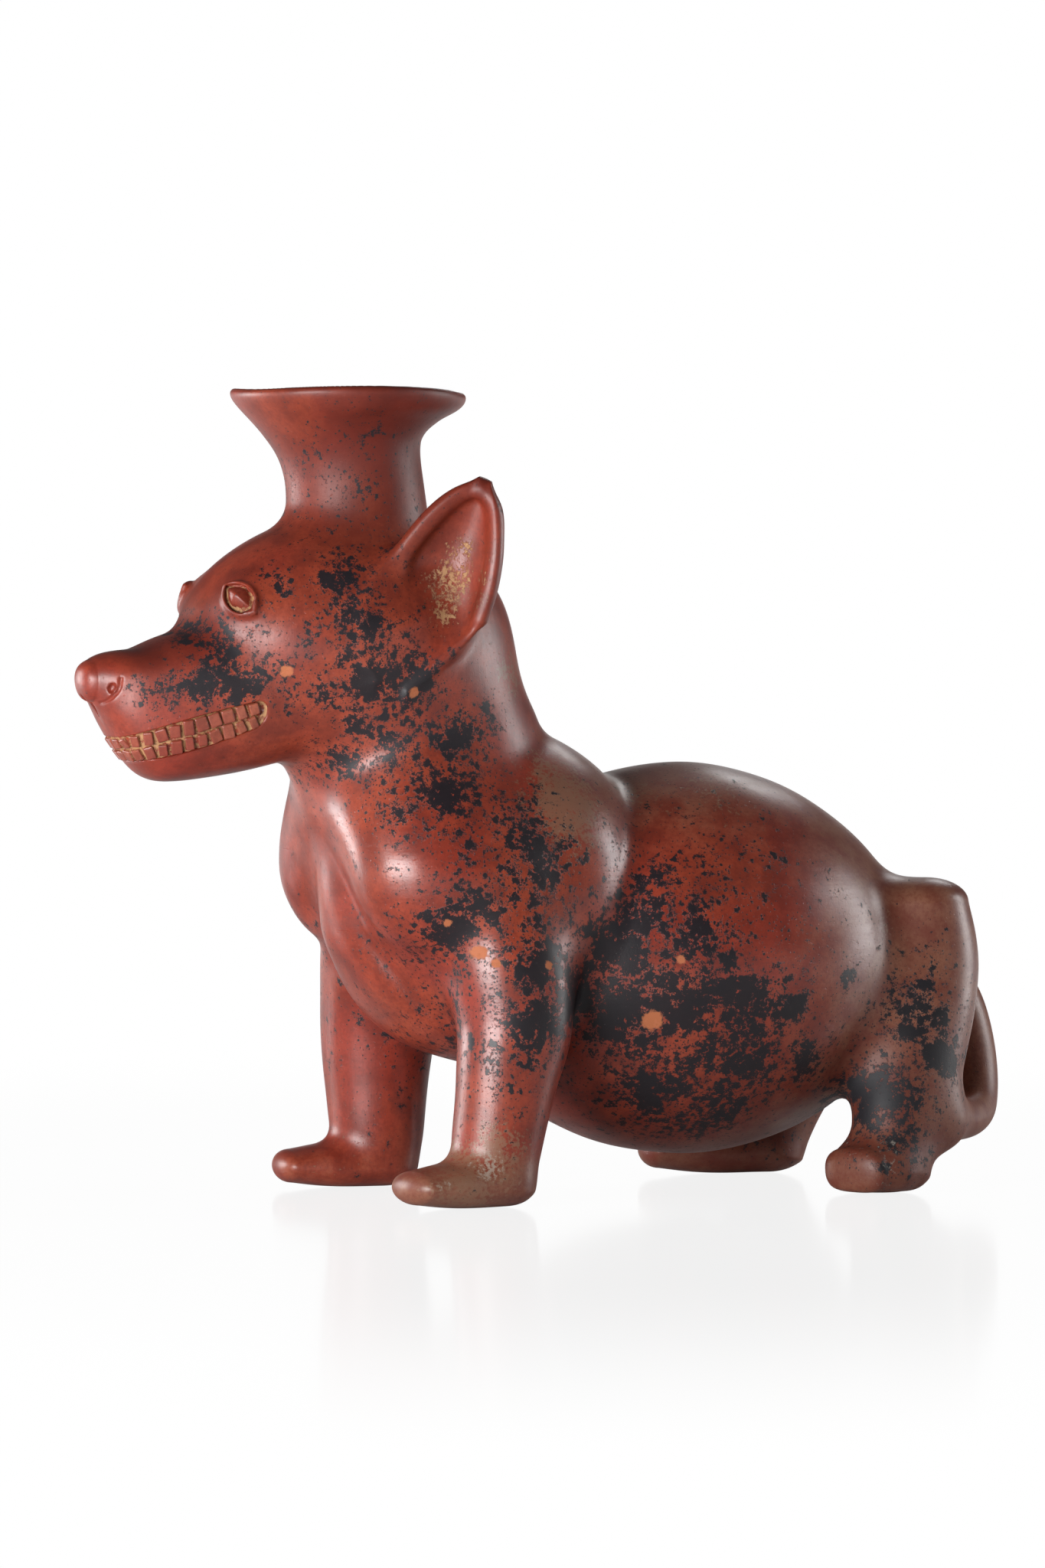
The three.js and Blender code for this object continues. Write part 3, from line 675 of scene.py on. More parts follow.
    def eye(self, side: Side) -> Almond:
        """The ring round one eye."""
        point, normal = self.on_skull(self.eye_azimuth, self.eye_elevation, side)
        level = unit(np.cross(vec(0, 0, 1), normal)) * -side.value
        upright = unit(np.cross(normal, level)) * -side.value
        turn = math.radians(self.eye_tilt)
        long = level * math.cos(turn) + upright * math.sin(turn)
        short = upright * math.cos(turn) - level * math.sin(turn)
        place = point + normal * self.brow_proud
        axes = np.stack([long, short, normal])
        return Almond(place, axes, self.eye_length, self.eye_height, self.eyelid_tube)

    def pellet(self, side: Side) -> Egg:
        """The pellet in one eye."""
        ring = self.eye(side)
        place = ring.centre - ring.axes[2] * self.eye_depth + ring.axes[0] * self.pellet_shift
        return Egg(place, self.pellet_semis, ring.axes, square=self.pellet_square)

    def mouth_level(self, x: Array) -> Array:
        """Height of the mouth's middle line at each x."""
        back = np.clip((x - self.mouth_front[0]) / self.mouth_length, 0, self.mouth_furthest)
        return self.mouth_front[1] + self.mouth_rise * back**self.mouth_bend

    def mouth_height(self, x: Array) -> Array:
        """Height of the band of teeth at each x."""
        back = np.clip((x - self.mouth_front[0]) / self.mouth_length, 0, 1)
        return self.mouth_ends + (self.mouth_middle - self.mouth_ends) * np.sin(math.pi * back)

    def grooves(self, skin: Form) -> list[Roll]:
        """What is scored into the muzzle: nostrils, and the line from nose to lip.

        Args:
            skin: the clay that they are scored into.

        Returns:
            A roll to cut away for each.
        """
        lines = [(np.array(self.lip_groove), self.lip_groove_width)]
        for side in Side:
            lines.append((np.array([mirrored(at, side) for at in self.nostril]), self.nostril_width))
            pits = ((self.nostril_pit, self.nostril_pit_size), (self.mouth_pit, self.mouth_pit_size))
            for at, size in pits:
                pit = mirrored(at, side)
                lines.append((np.array([pit, pit + self.pit_slant]), size))
        rolls = []
        for line, width in lines:
            stations = [Station(at, width, width) for at in laid_on(skin, line)]
            rolls.append(Roll(stations, np.array(self.score_side)))
        return rolls


class MouthChannel(Form):
    """The shallow channel round the mouth, from cheek to cheek."""

    def __init__(self, head: Head, body: Clay) -> None:
        """Keep the head's sizes and the body that the channel is cut into."""
        self.head = head
        self.body = body
        self.centre = vec(head.mouth_front[0] + head.mouth_length / 2, 0, head.mouth_front[1])
        self.radius = head.mouth_length

    def distance(self, p: Array) -> Array:
        """Distances to the channel, negative inside."""
        head = self.head
        level = np.abs(p[:, 2] - head.mouth_level(p[:, 0])) - head.mouth_height(p[:, 0]) / 2
        behind = p[:, 0] - head.mouth_front[0] - head.mouth_length
        r = head.mouth_corner
        corner = np.hypot(np.maximum(level + r, 0), np.maximum(behind + r, 0)) - r
        return np.maximum(corner, -self.body.distance(p) - head.mouth_depth)


class SpoutWall(Form):
    """The spout: a collar whose flare is long in front and short behind."""

    LEVELS = 240
    LINE_POINTS = 400

    def __init__(self, spout: "Spout") -> None:
        """Lay out the outlines of the front and of the back, with how they slope."""
        self.spout = spout
        self.z = np.linspace(spout.front[0][0], spout.top, self.LEVELS)
        lines = [smooth_line(np.array(knots), self.LINE_POINTS) for knots in (spout.front, spout.back)]
        self.outlines = [np.interp(self.z, line[:, 0], line[:, 1]) for line in lines]
        self.slopes = [np.gradient(outline, self.z) for outline in self.outlines]
        self.centre = vec(spout.axis, 0, (spout.top + spout.front[0][0]) / 2)
        self.radius = spout.reach

    def outer(self, p: Array) -> Array:
        """Distances to the outer face, negative within it."""
        dx = p[:, 0] - self.spout.axis
        around = np.hypot(dx, p[:, 1])
        front = 0.5 - 0.5 * dx / np.maximum(around, 1e-6)
        radius, slope = (
            front * np.interp(p[:, 2], self.z, a) + (1 - front) * np.interp(p[:, 2], self.z, b)
            for a, b in (self.outlines, self.slopes)
        )
        lean = 1.0 / np.sqrt(1.0 + slope**2)
        return (around - radius) * lean

    def rim(self, p: Array) -> Array:
        """Height of the rim, which dips at the back and waves a little."""
        dx = p[:, 0] - self.spout.axis
        turn = np.arctan2(p[:, 1], dx)
        back = np.clip(dx / self.spout.back[-1][1], 0, 1)
        wave = self.spout.wave * np.sin(self.spout.waves * turn + self.spout.wave_start)
        return self.spout.top - self.spout.dip * back**2 + wave

    def distance(self, p: Array) -> Array:
        """Distances to the spout's clay, negative inside."""
        spout = self.spout
        out = self.outer(p)
        shell = cut_away(out, out + spout.wall, CRISP)
        lip = -joined(-shell, self.rim(p) - p[:, 2], spout.lip)
        return np.maximum(lip, self.z[0] - p[:, 2])


class SpoutBore(Form):
    """The way through the spout into the head."""

    def __init__(self, wall: SpoutWall) -> None:
        """Keep the wall that the bore runs inside."""
        self.wall = wall
        self.centre = wall.centre
        self.radius = wall.radius

    def distance(self, p: Array) -> Array:
        """Distances to the bore, negative inside."""
        spout = self.wall.spout
        return np.maximum(self.wall.outer(p) + spout.wall, spout.bore_foot - p[:, 2])


@dataclass(frozen=True)
class Spout:
    """The pouring spout on the head. Its outlines are (height, radius) from foot to rim."""

    axis: float = -74.7
    top: float = 307.5
    wall: float = 6.2
    lip: float = 6.0
    dip: float = 2.0
    wave: float = 0.35
    waves: int = 3
    wave_start: float = 1.0
    bore_foot: float = 226.0
    bore_edge: float = 3.0
    blend: float = 8.0
    reach: float = 64.0
    front: tuple[Pair, ...] = (
        (240.0, 30.0), (258.0, 27.5), (266.0, 26.9), (274.0, 27.9),
        (282.0, 30.9), (290.0, 36.6), (300.0, 45.2), (307.5, 50.6),
    )
    back: tuple[Pair, ...] = (
        (240.0, 29.0), (258.0, 26.8), (270.0, 25.2), (284.0, 23.4),
        (290.0, 24.8), (295.0, 30.4), (300.0, 39.0), (307.5, 44.2),
    )


class Leaf(Form):
    """The cupped leaf of an ear."""

    LINE_POINTS = 160
    MARGIN = 12.0
    NARROWEST = 0.5
    FURTHEST_ASIDE = 1.3

    def __init__(self, ear: "Ear", side: Side) -> None:
        """Lay out the leaf.

        Args:
            ear: its sizes.
            side: of the dog.
        """
        self.ear = ear
        lean_back, lean_out, facing = (math.radians(a) for a in (ear.lean_back, ear.lean_out, ear.facing))
        self.along = unit(vec(math.tan(lean_back), side.value * math.tan(lean_out), 1))
        face = vec(-math.cos(facing), side.value * math.sin(facing), 0)
        self.open = unit(face - self.along * (face @ self.along))
        self.across = np.cross(self.along, self.open) * side.value
        self.foot = mirrored(ear.root, side) - self.along * ear.sunk
        line = smooth_line(np.array(ear.outline), self.LINE_POINTS)
        self.rise = line[:, 0]
        self.halves = (line[:, 1], line[:, 2])
        self.slopes = tuple(np.gradient(half, self.rise) for half in self.halves)
        self.centre = self.foot + self.along * ear.length / 2
        self.radius = ear.length / 2 + self.MARGIN

    def place(self, share: float, aside: float) -> Array:
        """A point on the leaf's rim.

        Args:
            share: of the way up the leaf.
            aside: of its half width, positive to the back.

        Returns:
            The point.
        """
        rise = share * self.ear.length
        half = np.interp(rise, self.rise, self.halves[int(aside > 0)])
        return self.foot + self.along * rise + self.across * (aside * half)

    def distance(self, p: Array) -> Array:
        """Distances to the leaf, negative inside."""
        ear = self.ear
        q = p - self.foot
        u, v, w = q @ self.across, q @ self.along, q @ self.open
        half, slope = (
            np.where(u > 0, np.interp(v, self.rise, back), np.interp(v, self.rise, front))
            for front, back in (self.halves, self.slopes)
        )
        half = np.maximum(half, self.NARROWEST)
        share = np.clip(u / half, -self.FURTHEST_ASIDE, self.FURTHEST_ASIDE)
        cup = ear.cup * np.clip(half / ear.widest, 0, 1)
        bowl = -cup * (1 - share**2)
        lean = 1 / np.sqrt(1 + (2 * cup * share / half) ** 2)
        r = ear.thickness / 2
        sheet = np.abs(w - bowl) * lean - r
        edge = (np.abs(u) - half) / np.sqrt(1 + slope**2)
        edge = np.maximum(edge, np.maximum(-v, v - ear.length))
        outside = np.hypot(np.maximum(sheet + r, 0), np.maximum(edge + r, 0))
        return outside + np.minimum(np.maximum(sheet, edge) + r, 0) - r


@dataclass(frozen=True)
class Ear:
    """A cupped ear. Its outline is (rise, width in front, width behind) from foot to tip."""

    root: Point = (-67.5, 41.5, 214.0)
    length: float = 84.0
    sunk: float = 20.0
    thickness: float = 6.0
    cup: float = 12.0
    rim_radius: float = 3.5
    front_radius: float = 2.9
    rim_aside: float = 0.9
    rim_blend: float = 3.0
    back_rises: tuple[float, ...] = (0.13, 0.24, 0.38, 0.55, 0.74)
    back_end: Pair = (0.88, 0.85)
    front_rises: tuple[float, ...] = (0.42, 0.59, 0.76, 0.89)
    tip_rise: float = 0.952
    tip_taper: float = 0.8
    lean_back: float = 19.0
    lean_out: float = 15.0
    facing: float = 60.0
    blend: float = 9.0
    outline: tuple[Point, ...] = (
        (0.0, 4.0, 5.0),
        (8.0, 8.0, 12.5),
        (32.0, 20.0, 21.0),
        (56.0, 17.0, 17.0),
        (73.0, 9.5, 9.5),
        (84.0, 2.5, 2.5),
    )

    @property
    def widest(self) -> float:
        """Its width behind, where that is widest."""
        return max(behind for _, _, behind in self.outline)

    def build(self, side: Side) -> Clay:
        """One ear: the leaf, with a rolled rim up its back and up its front."""
        leaf = Leaf(self, side)
        clay = Clay(leaf.centre, leaf.radius + self.rim_radius)
        clay.add(leaf, CRISP)
        back, front = 2 * self.rim_radius, 2 * self.front_radius
        rear = [Station(leaf.place(rise, self.rim_aside), back, back) for rise in self.back_rises]
        rear.append(Station(leaf.place(*self.back_end), self.tip_taper * back, self.tip_taper * back))
        fore = [Station(leaf.place(rise, -self.rim_aside), front, front) for rise in self.front_rises]
        tip = Station(leaf.place(self.tip_rise, 0.0), self.tip_taper * front, self.tip_taper * front)
        for stations in (rear, fore):
            clay.add(Roll([*stations, tip], leaf.open), self.rim_blend)
        return clay


@dataclass(frozen=True)
class Foot:
    """A flattened foot, pointing forward and splayed outwards."""

    length: float
    width: float
    height: float
    splay: float
    heel: float
    toe_height: float
    lift: float = 0.0
    dome: float = 1.0
    square: float = 2.0
    taper: float = 0.85
    pressed: float = 1.0

    def build(self, ankle: Array, side: Side) -> Roll:
        """The foot under an ankle."""
        turn = math.radians(self.splay)
        forward = vec(-math.cos(turn), side.value * math.sin(turn), 0)
        across = vec(forward[1], -forward[0], 0)
        half = self.height / 2
        level = half - self.pressed
        toe_level = self.toe_height / 2 + self.lift

        def at(reach: float, rise: float) -> Array:
            """A place along the foot, that far from the heel."""
            return vec(ankle[0], ankle[1], rise) + forward * (reach - self.heel)

        stations = [
            Station(at(half, level), self.width * self.taper, self.height),
            Station(at(self.length / 2, level), self.width, self.height),
            Station(at(self.length - half, toe_level), self.width * self.taper, self.toe_height),
        ]
        return Roll(stations, across, (self.dome, self.dome), self.square)


@dataclass(frozen=True)
class Foreleg:
    """The forelegs: tapered rolls on flattened feet, the left one leaning.

    Sections are (x, y, z, diameter).
    """

    left_sections: Sections = (
        (-38.0, 39.0, 120.0, 52.0),
        (-34.0, 47.0, 92.0, 50.0),
        (-33.5, 52.0, 68.0, 44.0),
        (-38.0, 55.0, 46.0, 38.0),
        (-42.0, 55.0, 22.0, 34.0),
        (-43.5, 55.0, 8.5, 31.0),
    )
    right_sections: Sections = (
        (-42.0, 39.0, 120.0, 52.0),
        (-42.0, 47.0, 92.0, 51.0),
        (-42.0, 53.0, 68.0, 46.0),
        (-42.5, 55.0, 46.0, 41.5),
        (-42.5, 55.0, 22.0, 36.5),
        (-43.0, 55.0, 8.5, 32.0),
    )
    ends: Pair = (0.6, 0.3)
    foot: Foot = Foot(
        length=55.0, width=33.0, height=19.0, splay=9.0, heel=11.5, toe_height=13.0, lift=2.0
    )
    foot_blend: float = 8.0
    blend: float = 8.0
    foot_seam: float = 17.3
    middle: Point = (-43.0, 48.0, 75.0)
    reach: float = 110.0

    def build(self, side: Side) -> Clay:
        """One leg with its foot."""
        clay = Clay(mirrored(self.middle, side), self.reach)
        sections = self.left_sections if side is Side.LEFT else self.right_sections
        stations = [Station(vec(x, side.value * y, z), d, d) for x, y, z, d in sections]
        clay.add(Roll(stations, ACROSS, self.ends), CRISP)
        x, y = sections[-1][:2]
        clay.add(self.foot.build(vec(x, side.value * y, 0), side), self.foot_blend)
        return clay


@dataclass(frozen=True)
class HindLeg:
    """A hind leg: a square-topped haunch, a hock and a block foot.

    Sections are (x, y, z, width, depth).
    """

    sections: Sections = (
        (145.0, 43.0, 110.0, 34.0, 35.0),
        (146.0, 44.0, 84.0, 36.0, 41.0),
        (136.0, 49.0, 48.0, 36.0, 42.0),
        (128.5, 52.0, 24.0, 35.5, 34.5),
        (125.0, 53.0, 9.0, 36.0, 29.0),
    )
    ends: Pair = (0.6, 0.3)
    left_foot: Foot = Foot(
        length=39.0, width=35.0, height=21.0, splay=22.0, heel=10.0, toe_height=18.0, dome=0.65, square=2.6
    )
    right_foot: Foot = Foot(
        length=64.0, width=32.0, height=20.0, splay=11.0, heel=10.0, toe_height=15.0, lift=2.5
    )
    foot_blend: float = 8.0
    blend: float = 15.0
    foot_seam: float = 18.3
    middle: Point = (135.0, 50.0, 58.0)
    reach: float = 100.0

    def build(self, side: Side) -> Clay:
        """One leg with its foot."""
        clay = Clay(mirrored(self.middle, side), self.reach)
        stations = [Station(vec(x, side.value * y, z), w, d) for x, y, z, w, d in self.sections]
        clay.add(Roll(stations, ACROSS, self.ends), CRISP)
        x, y = self.sections[-1][:2]
        foot = self.left_foot if side is Side.LEFT else self.right_foot
        clay.add(foot.build(vec(x, side.value * y, 0), side), self.foot_blend)
        return clay


@dataclass(frozen=True)
class Tail:
    """The tail: a roll from the rump to the left hock. Sections are (x, y, z, diameter)."""

    sections: Sections = (
        (141.0, 0.0, 98.0, 26.0),
        (178.5, 0.0, 70.0, 26.0),
        (178.0, -24.0, 31.0, 17.0),
        (148.0, -54.0, 26.0, 17.0),
    )
    blend: float = 6.0

    def build(self) -> Roll:
        """The roll."""
        stations = [Station(vec(x, y, z), d, d) for x, y, z, d in self.sections]
        return Roll(stations, ACROSS)


class Ground(Form):
    """What lies under the table's level."""

    centre = vec(0, 0, 0)
    radius = FAR

    def distance(self, p: Array) -> Array:
        """Distances to the ground, negative under it."""
        return p[:, 2]


@dataclass
class Vessel:
    """The whole vessel: its clay, and which node owns which part of it."""

    trunk: Trunk = Trunk()
    head: Head = Head()
    spout: Spout = Spout()
    ear: Ear = Ear()
    foreleg: Foreleg = Foreleg()
    hind_leg: HindLeg = HindLeg()
    tail: Tail = Tail()
    wall: float = 7.0
    hand: float = 0.3
    sole_edge: float = 3.0
    middle: Point = (0.0, 0.0, 150.0)
    reach: float = 330.0

    def __post_init__(self) -> None:
        """Model the body, what is set on it, and the cavity."""
        self.body = Clay(self.middle, self.reach)
        self.trunk.build(self.body, 0.0)
        self.head.build(self.body, 0.0)
        self.head.build_face(self.body)
        self.cavity = Clay(self.middle, self.reach)
        self.trunk.build(self.cavity, self.wall)
        self.head.build(self.cavity, self.wall)
        spout_wall = SpoutWall(self.spout)
        self.bore = SpoutBore(spout_wall)
        self.set_on: dict[str, tuple[Form, float]] = {
            "breast_keel": (self.trunk.keel(), self.trunk.keel_blend),
            "nose_pad": (Egg(self.head.nose, self.head.nose_semis), self.head.nose_blend),
            "spout": (spout_wall, self.spout.blend),
            "tail": (self.tail.build(), self.tail.blend),
        }
        for side in Side:
            self.set_on[f"{side.word}_ear"] = (self.ear.build(side), self.ear.blend)
            self.set_on[f"{side.word}_foreleg"] = (self.foreleg.build(side), self.foreleg.blend)
            self.set_on[f"{side.word}_haunch"] = (self.hind_leg.build(side), self.hind_leg.blend)
            self.set_on[f"{side.word}_eyelid"] = (self.head.eye(side), self.head.eyelid_blend)
            self.set_on[f"{side.word}_eyeball"] = (self.head.pellet(side), self.head.pellet_blend)
        self.channel = MouthChannel(self.head, self.body)
        snout = Clay(self.middle, self.reach).add(self.body, CRISP).add(*self.set_on["nose_pad"])
        self.grooves = self.head.grooves(snout)
        self.cuts = self.all_cuts()

    def around(self, block: Block) -> "Vessel":
        """The part of the vessel that can matter in a block of space."""
        part = copy.copy(self)
        part.body = self.body.around(block)
        part.cavity = self.cavity.around(block)
        part.set_on = {name: made for name, made in self.set_on.items() if block.meets(made[0])}
        part.channel = MouthChannel(self.head, part.body)
        part.cuts = [cut for cut in part.all_cuts() if block.meets(cut[0])]
        return part

    def all_cuts(self) -> list[tuple[Form, Blend]]:
        """What is cut from the clay, with how round its edges are."""
        soles = (Ground(), self.sole_edge)
        bore = (self.bore, self.spout.bore_edge)
        channel = (self.channel, self.head.mouth_edge)
        return [soles, bore, channel, *((groove, self.head.score_edge) for groove in self.grooves)]

    def sample(self, p: Array) -> tuple[Array, Array, dict[str, Array]]:
        """The clay at points, with what decides who owns it.

        Args:
            p: points, one row each.

        Returns:
            Distances to the hollow vessel, distances to its body alone, and distances to each set-on form.
        """
        body = self.body.distance(p)
        out = body.copy()
        claims = {}
        for name, (form, blend) in self.set_on.items():
            claim = form.at_least(p)
            near = np.nonzero(claim < np.maximum(out, 0) + blend)[0]
            if len(near):
                if name.endswith("eyeball"):
                    hollow = EyeHollow(self.set_on[name.replace("eyeball", "eyelid")][0], self.head.eye_depth)
                    out[near] = cut_away(out[near], hollow.distance(p[near]), self.head.eye_edge)
                claim[near] = form.distance(p[near])
                out[near] = joined(out[near], claim[near], blend)
            claims[name] = np.maximum(claim, -FAR)
        out += self.hand * hand_waves(p)
        for form, blend in self.cuts:
            apply_step(out, p, form, blend, True)
        apply_step(out, p, self.cavity, CRISP, True)
        return out, body, claims

    def owned(self, node: str, p: Array, body: Array, claims: Mapping[str, Array]) -> Array:
        """How far points lie outside a node's own part of the clay.

        Args:
            node: the node's name.
            p: points, one row each.
            body: distances to the body.
            claims: distances to each set-on form.

        Returns:
            Distances, negative inside.
        """
        owner = node.replace("forefoot", "foreleg").replace("hind_foot", "haunch")
        others = np.minimum.reduce([np.full(len(p), FAR), *(claims[n] for n in claims if n != owner)])
        if owner in claims:
            mine = (claims[owner] - np.minimum(others, body)) / 2
            if "fore" in node:
                height = p[:, 2] - self.foreleg.foot_seam
            elif "haunch" in node or "hind" in node:
                height = p[:, 2] - self.hind_leg.foot_seam
            else:
                return mine
            return np.maximum(mine, height if "foot" in node else -height)
        mine = (body - others) / 2
        for plane in self.planes(node, p):
            mine = np.maximum(mine, plane)
        return mine

    def planes(self, node: str, p: Array) -> list[Array]:
        """The seams that bound a piece of the hollow body.

        Args:
            node: the node's name.
            p: points, one row each.

        Returns:
            Distances outside each seam.
        """
        head = self.head.head_seam.beyond(p)
        muzzle = self.head.muzzle_seam.beyond(p)
        neck = self.trunk.neck_seam.beyond(p)
        waist = self.trunk.waist.beyond(p)
        back = p[:, 2] - self.trunk.belly_seam
        return {
            "muzzle": [-head, -muzzle],
            "skull_shell": [-head, muzzle],
            "neck_shell": [head, -neck],
            "chest_shell": [head, neck, -waist],
            "back_dome": [head, neck, waist, -back],
            "belly_bowl": [head, neck, waist, back],
        }[node]


def hand_waves(p: Array) -> Array:
    """The slow unevenness of hand-shaped clay, from -1 to 1."""
    x, y, z = p.T
    return (
        np.sin(x / 7.3 + 1.1 + np.sin(z / 11.0)) * np.sin(z / 8.1 + 0.4)
        + np.sin(y / 9.7 + x / 13.0) * np.sin(x / 10.9 - z / 15.0 + 2.0)
    ) / 2


# Meshing


@dataclass(frozen=True)
class Grain:
    """How finely a node is meshed, in millimetres."""

    node: str
    step: float


GRAINS = (
    Grain("belly_bowl", 1.5),
    Grain("back_dome", 1.5),
    Grain("chest_shell", 1.3),
    Grain("breast_keel", 1.0),
    Grain("neck_shell", 1.3),
    Grain("skull_shell", 1.0),
    Grain("muzzle", 0.6),
    Grain("nose_pad", 0.45),
    Grain("spout", 0.9),
    Grain("tail", 0.9),
    *(
        Grain(f"{side.word}_{name}", step)
        for side in Side
        for name, step in (
            ("ear", 0.7), ("eyelid", 0.35), ("eyeball", 0.35), ("foreleg", 1.1),
            ("forefoot", 1.0), ("haunch", 1.1), ("hind_foot", 1.0),
        )
    ),
)

# The rough grid that finds each node's block, the space it covers, and how near in steps counts as inside
ROUGH = 8.0
REACH = (vec(-204, -92, -12), vec(204, 92, 324))
ROUGH_NEAR = 1.2


def node_blocks(vessel: Vessel) -> dict[str, Block]:
    """The block of space that holds each node's part of the clay.

    Args:
        vessel: the whole clay.

    Returns:
        A block for each node's name.
    """
    axes = [np.arange(low, high, ROUGH) for low, high in zip(*REACH)]
    p = np.stack(np.meshgrid(*axes, indexing="ij"), axis=-1).reshape(-1, 3)
    clay, body, claims = vessel.sample(p)
    blocks = {}
    for grain in GRAINS:
        own = vessel.owned(grain.node, p, body, claims)
        near = p[np.maximum(clay, own) < ROUGH_NEAR * ROUGH]
        blocks[grain.node] = Block(near.min(0) - ROUGH, near.max(0) + ROUGH)
    return blocks


def surface(values: Array) -> tuple[Array, Array]:
    """The surface where a grid's values change sign, as quads.

    Args:
        values: one value for each grid point, negative inside.

    Returns:
        Vertices in grid steps, and four vertex numbers for each quad, facing outwards.
    """
    inside = values < 0
    shape = np.array(values.shape) - 1
    count = np.zeros(shape, np.uint8)
    corners = [(i, j, k) for i in (0, 1) for j in (0, 1) for k in (0, 1)]
    for i, j, k in corners:
        count += inside[i : i + shape[0], j : j + shape[1], k : k + shape[2]]
    cells = np.argwhere((count > 0) & (count < 8))
    number = np.full(shape, -1, np.int32)
    number[tuple(cells.T)] = np.arange(len(cells))
    total = np.zeros((len(cells), 3))
    crossings = np.zeros(len(cells))
    for a in corners:
        for axis in range(3):
            if a[axis]:
                continue
            b = tuple(1 if i == axis else a[i] for i in range(3))
            va = values[tuple((cells + a).T)]
            vb = values[tuple((cells + b).T)]
            crosses = (va < 0) != (vb < 0)
            share = np.where(crosses, va / np.where(crosses, va - vb, 1.0), 0.0)
            total += crosses[:, None] * (np.array(a) + share[:, None] * (np.array(b) - np.array(a)))
            crossings += crosses
    vertices = cells + total / crossings[:, None]
    quads = []
    for axis in range(3):
        one, two = (axis + 1) % 3, (axis + 2) % 3
        low = [slice(None)] * 3
        high = [slice(None)] * 3
        low[axis], high[axis] = slice(0, -1), slice(1, None)
        first = inside[tuple(low)]
        places = np.argwhere(first != inside[tuple(high)])
        middle = (places[:, one] > 0) & (places[:, two] > 0)
        middle &= (places[:, one] < shape[one]) & (places[:, two] < shape[two])
        places = places[middle]
        ring = []
        for back_one, back_two in ((1, 1), (0, 1), (0, 0), (1, 0)):
            cell = places.copy()
            cell[:, one] -= back_one
            cell[:, two] -= back_two
            ring.append(number[tuple(cell.T)])
        quad = np.stack(ring, axis=1)
        outward = first[tuple(places.T)]
        quads.append(np.where(outward[:, None], quad, quad[:, ::-1]))
    return vertices, np.vstack(quads)


class PieceMesher:
    """Makes the mesh of one node's part of the clay.

    Pieces overlap a little at their seams. The grid is filled coarsely first, and finely near the skin.
    """

    OVERLAP = 0.8
    COARSE = 4
    NEAR = 1.3
    PASSES = 2
    MOVABLE = 0.5
    BURIED = 0.6
    LEAST_SLOPE = 0.4

    def __init__(self, vessel: Vessel, grain: Grain, block: Block) -> None:
        """Keep the node, and the part of the vessel around it."""
        self.block = block
        self.vessel = vessel.around(block)
        self.grain = grain

    def field(self, p: Array) -> tuple[Array, Array]:
        """Distances to the piece, and to the whole vessel."""
        clay, body, claims = self.vessel.sample(p)
        own = self.vessel.owned(self.grain.node, p, body, claims)
        return np.maximum(clay, own - self.OVERLAP), clay

    def grid(self) -> tuple[Array, Array]:
        """The piece's distances on a grid.

        Returns:
            The grid's low corner, and its values.
        """
        step = self.grain.step
        low = self.block.low
        cells = np.ceil((self.block.high - low) / (step * self.COARSE)).astype(int)
        middle = (self.COARSE - 1) / 2
        axes = [low[i] + step * (np.arange(cells[i]) * self.COARSE + middle) for i in range(3)]
        values = self.field(np.stack(np.meshgrid(*axes, indexing="ij"), axis=-1).reshape(-1, 3))[0]
        values = values.reshape(cells)
        for axis in range(3):
            values = values.repeat(self.COARSE, axis)
        values = values.astype(np.float32)
        near = np.argwhere(np.abs(values) < self.NEAR * self.COARSE * step)
        values[tuple(near.T)] = self.field(low + near * step)[0]
        return low, values

    def build(self) -> tuple[Array, Array, Array]:
        """The piece's mesh.

        Returns:
            Vertices in millimetres, quads, and a normal for each vertex.
        """
        low, values = self.grid()
        vertices, quads = surface(values)
        vertices = low + vertices * self.grain.step
        for _ in range(self.PASSES):
            normals, steep, clay = self.slopes(vertices)
            move = np.abs(clay) < self.MOVABLE * self.grain.step
            vertices = vertices - np.where(move, clay / steep, 0.0)[:, None] * normals
        return vertices, quads, normals

    def slopes(self, p: Array) -> tuple[Array, Array, Array]:
        """Outward directions of the clay, and distances to it.

        Args:
            p: points, one row each.

        Returns:
            A direction for each point, how fast the distance grows along it, and the distance.
        """
        on_skin = self.vessel.sample(p)[0]
        buried = np.abs(on_skin) > self.BURIED * self.grain.step
        slope = np.zeros_like(p)
        for way in WAYS:
            piece, clay = self.field(p + FEEL * way)
            slope += way * np.where(buried, piece, clay)[:, None]
        length = np.maximum(np.linalg.norm(slope, axis=1), 1e-9)
        steep = np.maximum(length / (len(WAYS) * FEEL), self.LEAST_SLOPE)
        return slope / length[:, None], steep, on_skin


def placed(name: str, data: bpy.types.ID) -> Object:
    """A new object in the scene."""
    obj = bpy.data.objects.new(name, data)
    bpy.context.scene.collection.objects.link(obj)
    return obj


def mesh_object(name: str, vertices: Array, quads: Array, normals: Array) -> Object:
    """A mesh object of quads with its own smooth normals.

    Args:
        name: of the object.
        vertices: in millimetres.
        quads: four vertex numbers each.
        normals: one for each vertex.

    Returns:
        The object, linked to the scene.
    """
    mesh = bpy.data.meshes.new(name)
    mesh.vertices.add(len(vertices))
    mesh.vertices.foreach_set("co", (vertices * MM).astype(np.float32).ravel())
    mesh.loops.add(quads.size)
    mesh.loops.foreach_set("vertex_index", quads.astype(np.int32).ravel())
    mesh.polygons.add(len(quads))
    mesh.polygons.foreach_set("loop_start", np.arange(0, quads.size, 4, dtype=np.int32))
    mesh.polygons.foreach_set("use_smooth", np.ones(len(quads), bool))
    mesh.update(calc_edges=True)
    mesh.normals_split_custom_set_from_vertices(normals.astype(np.float32).tolist())
    return placed(name, mesh)


# Teeth


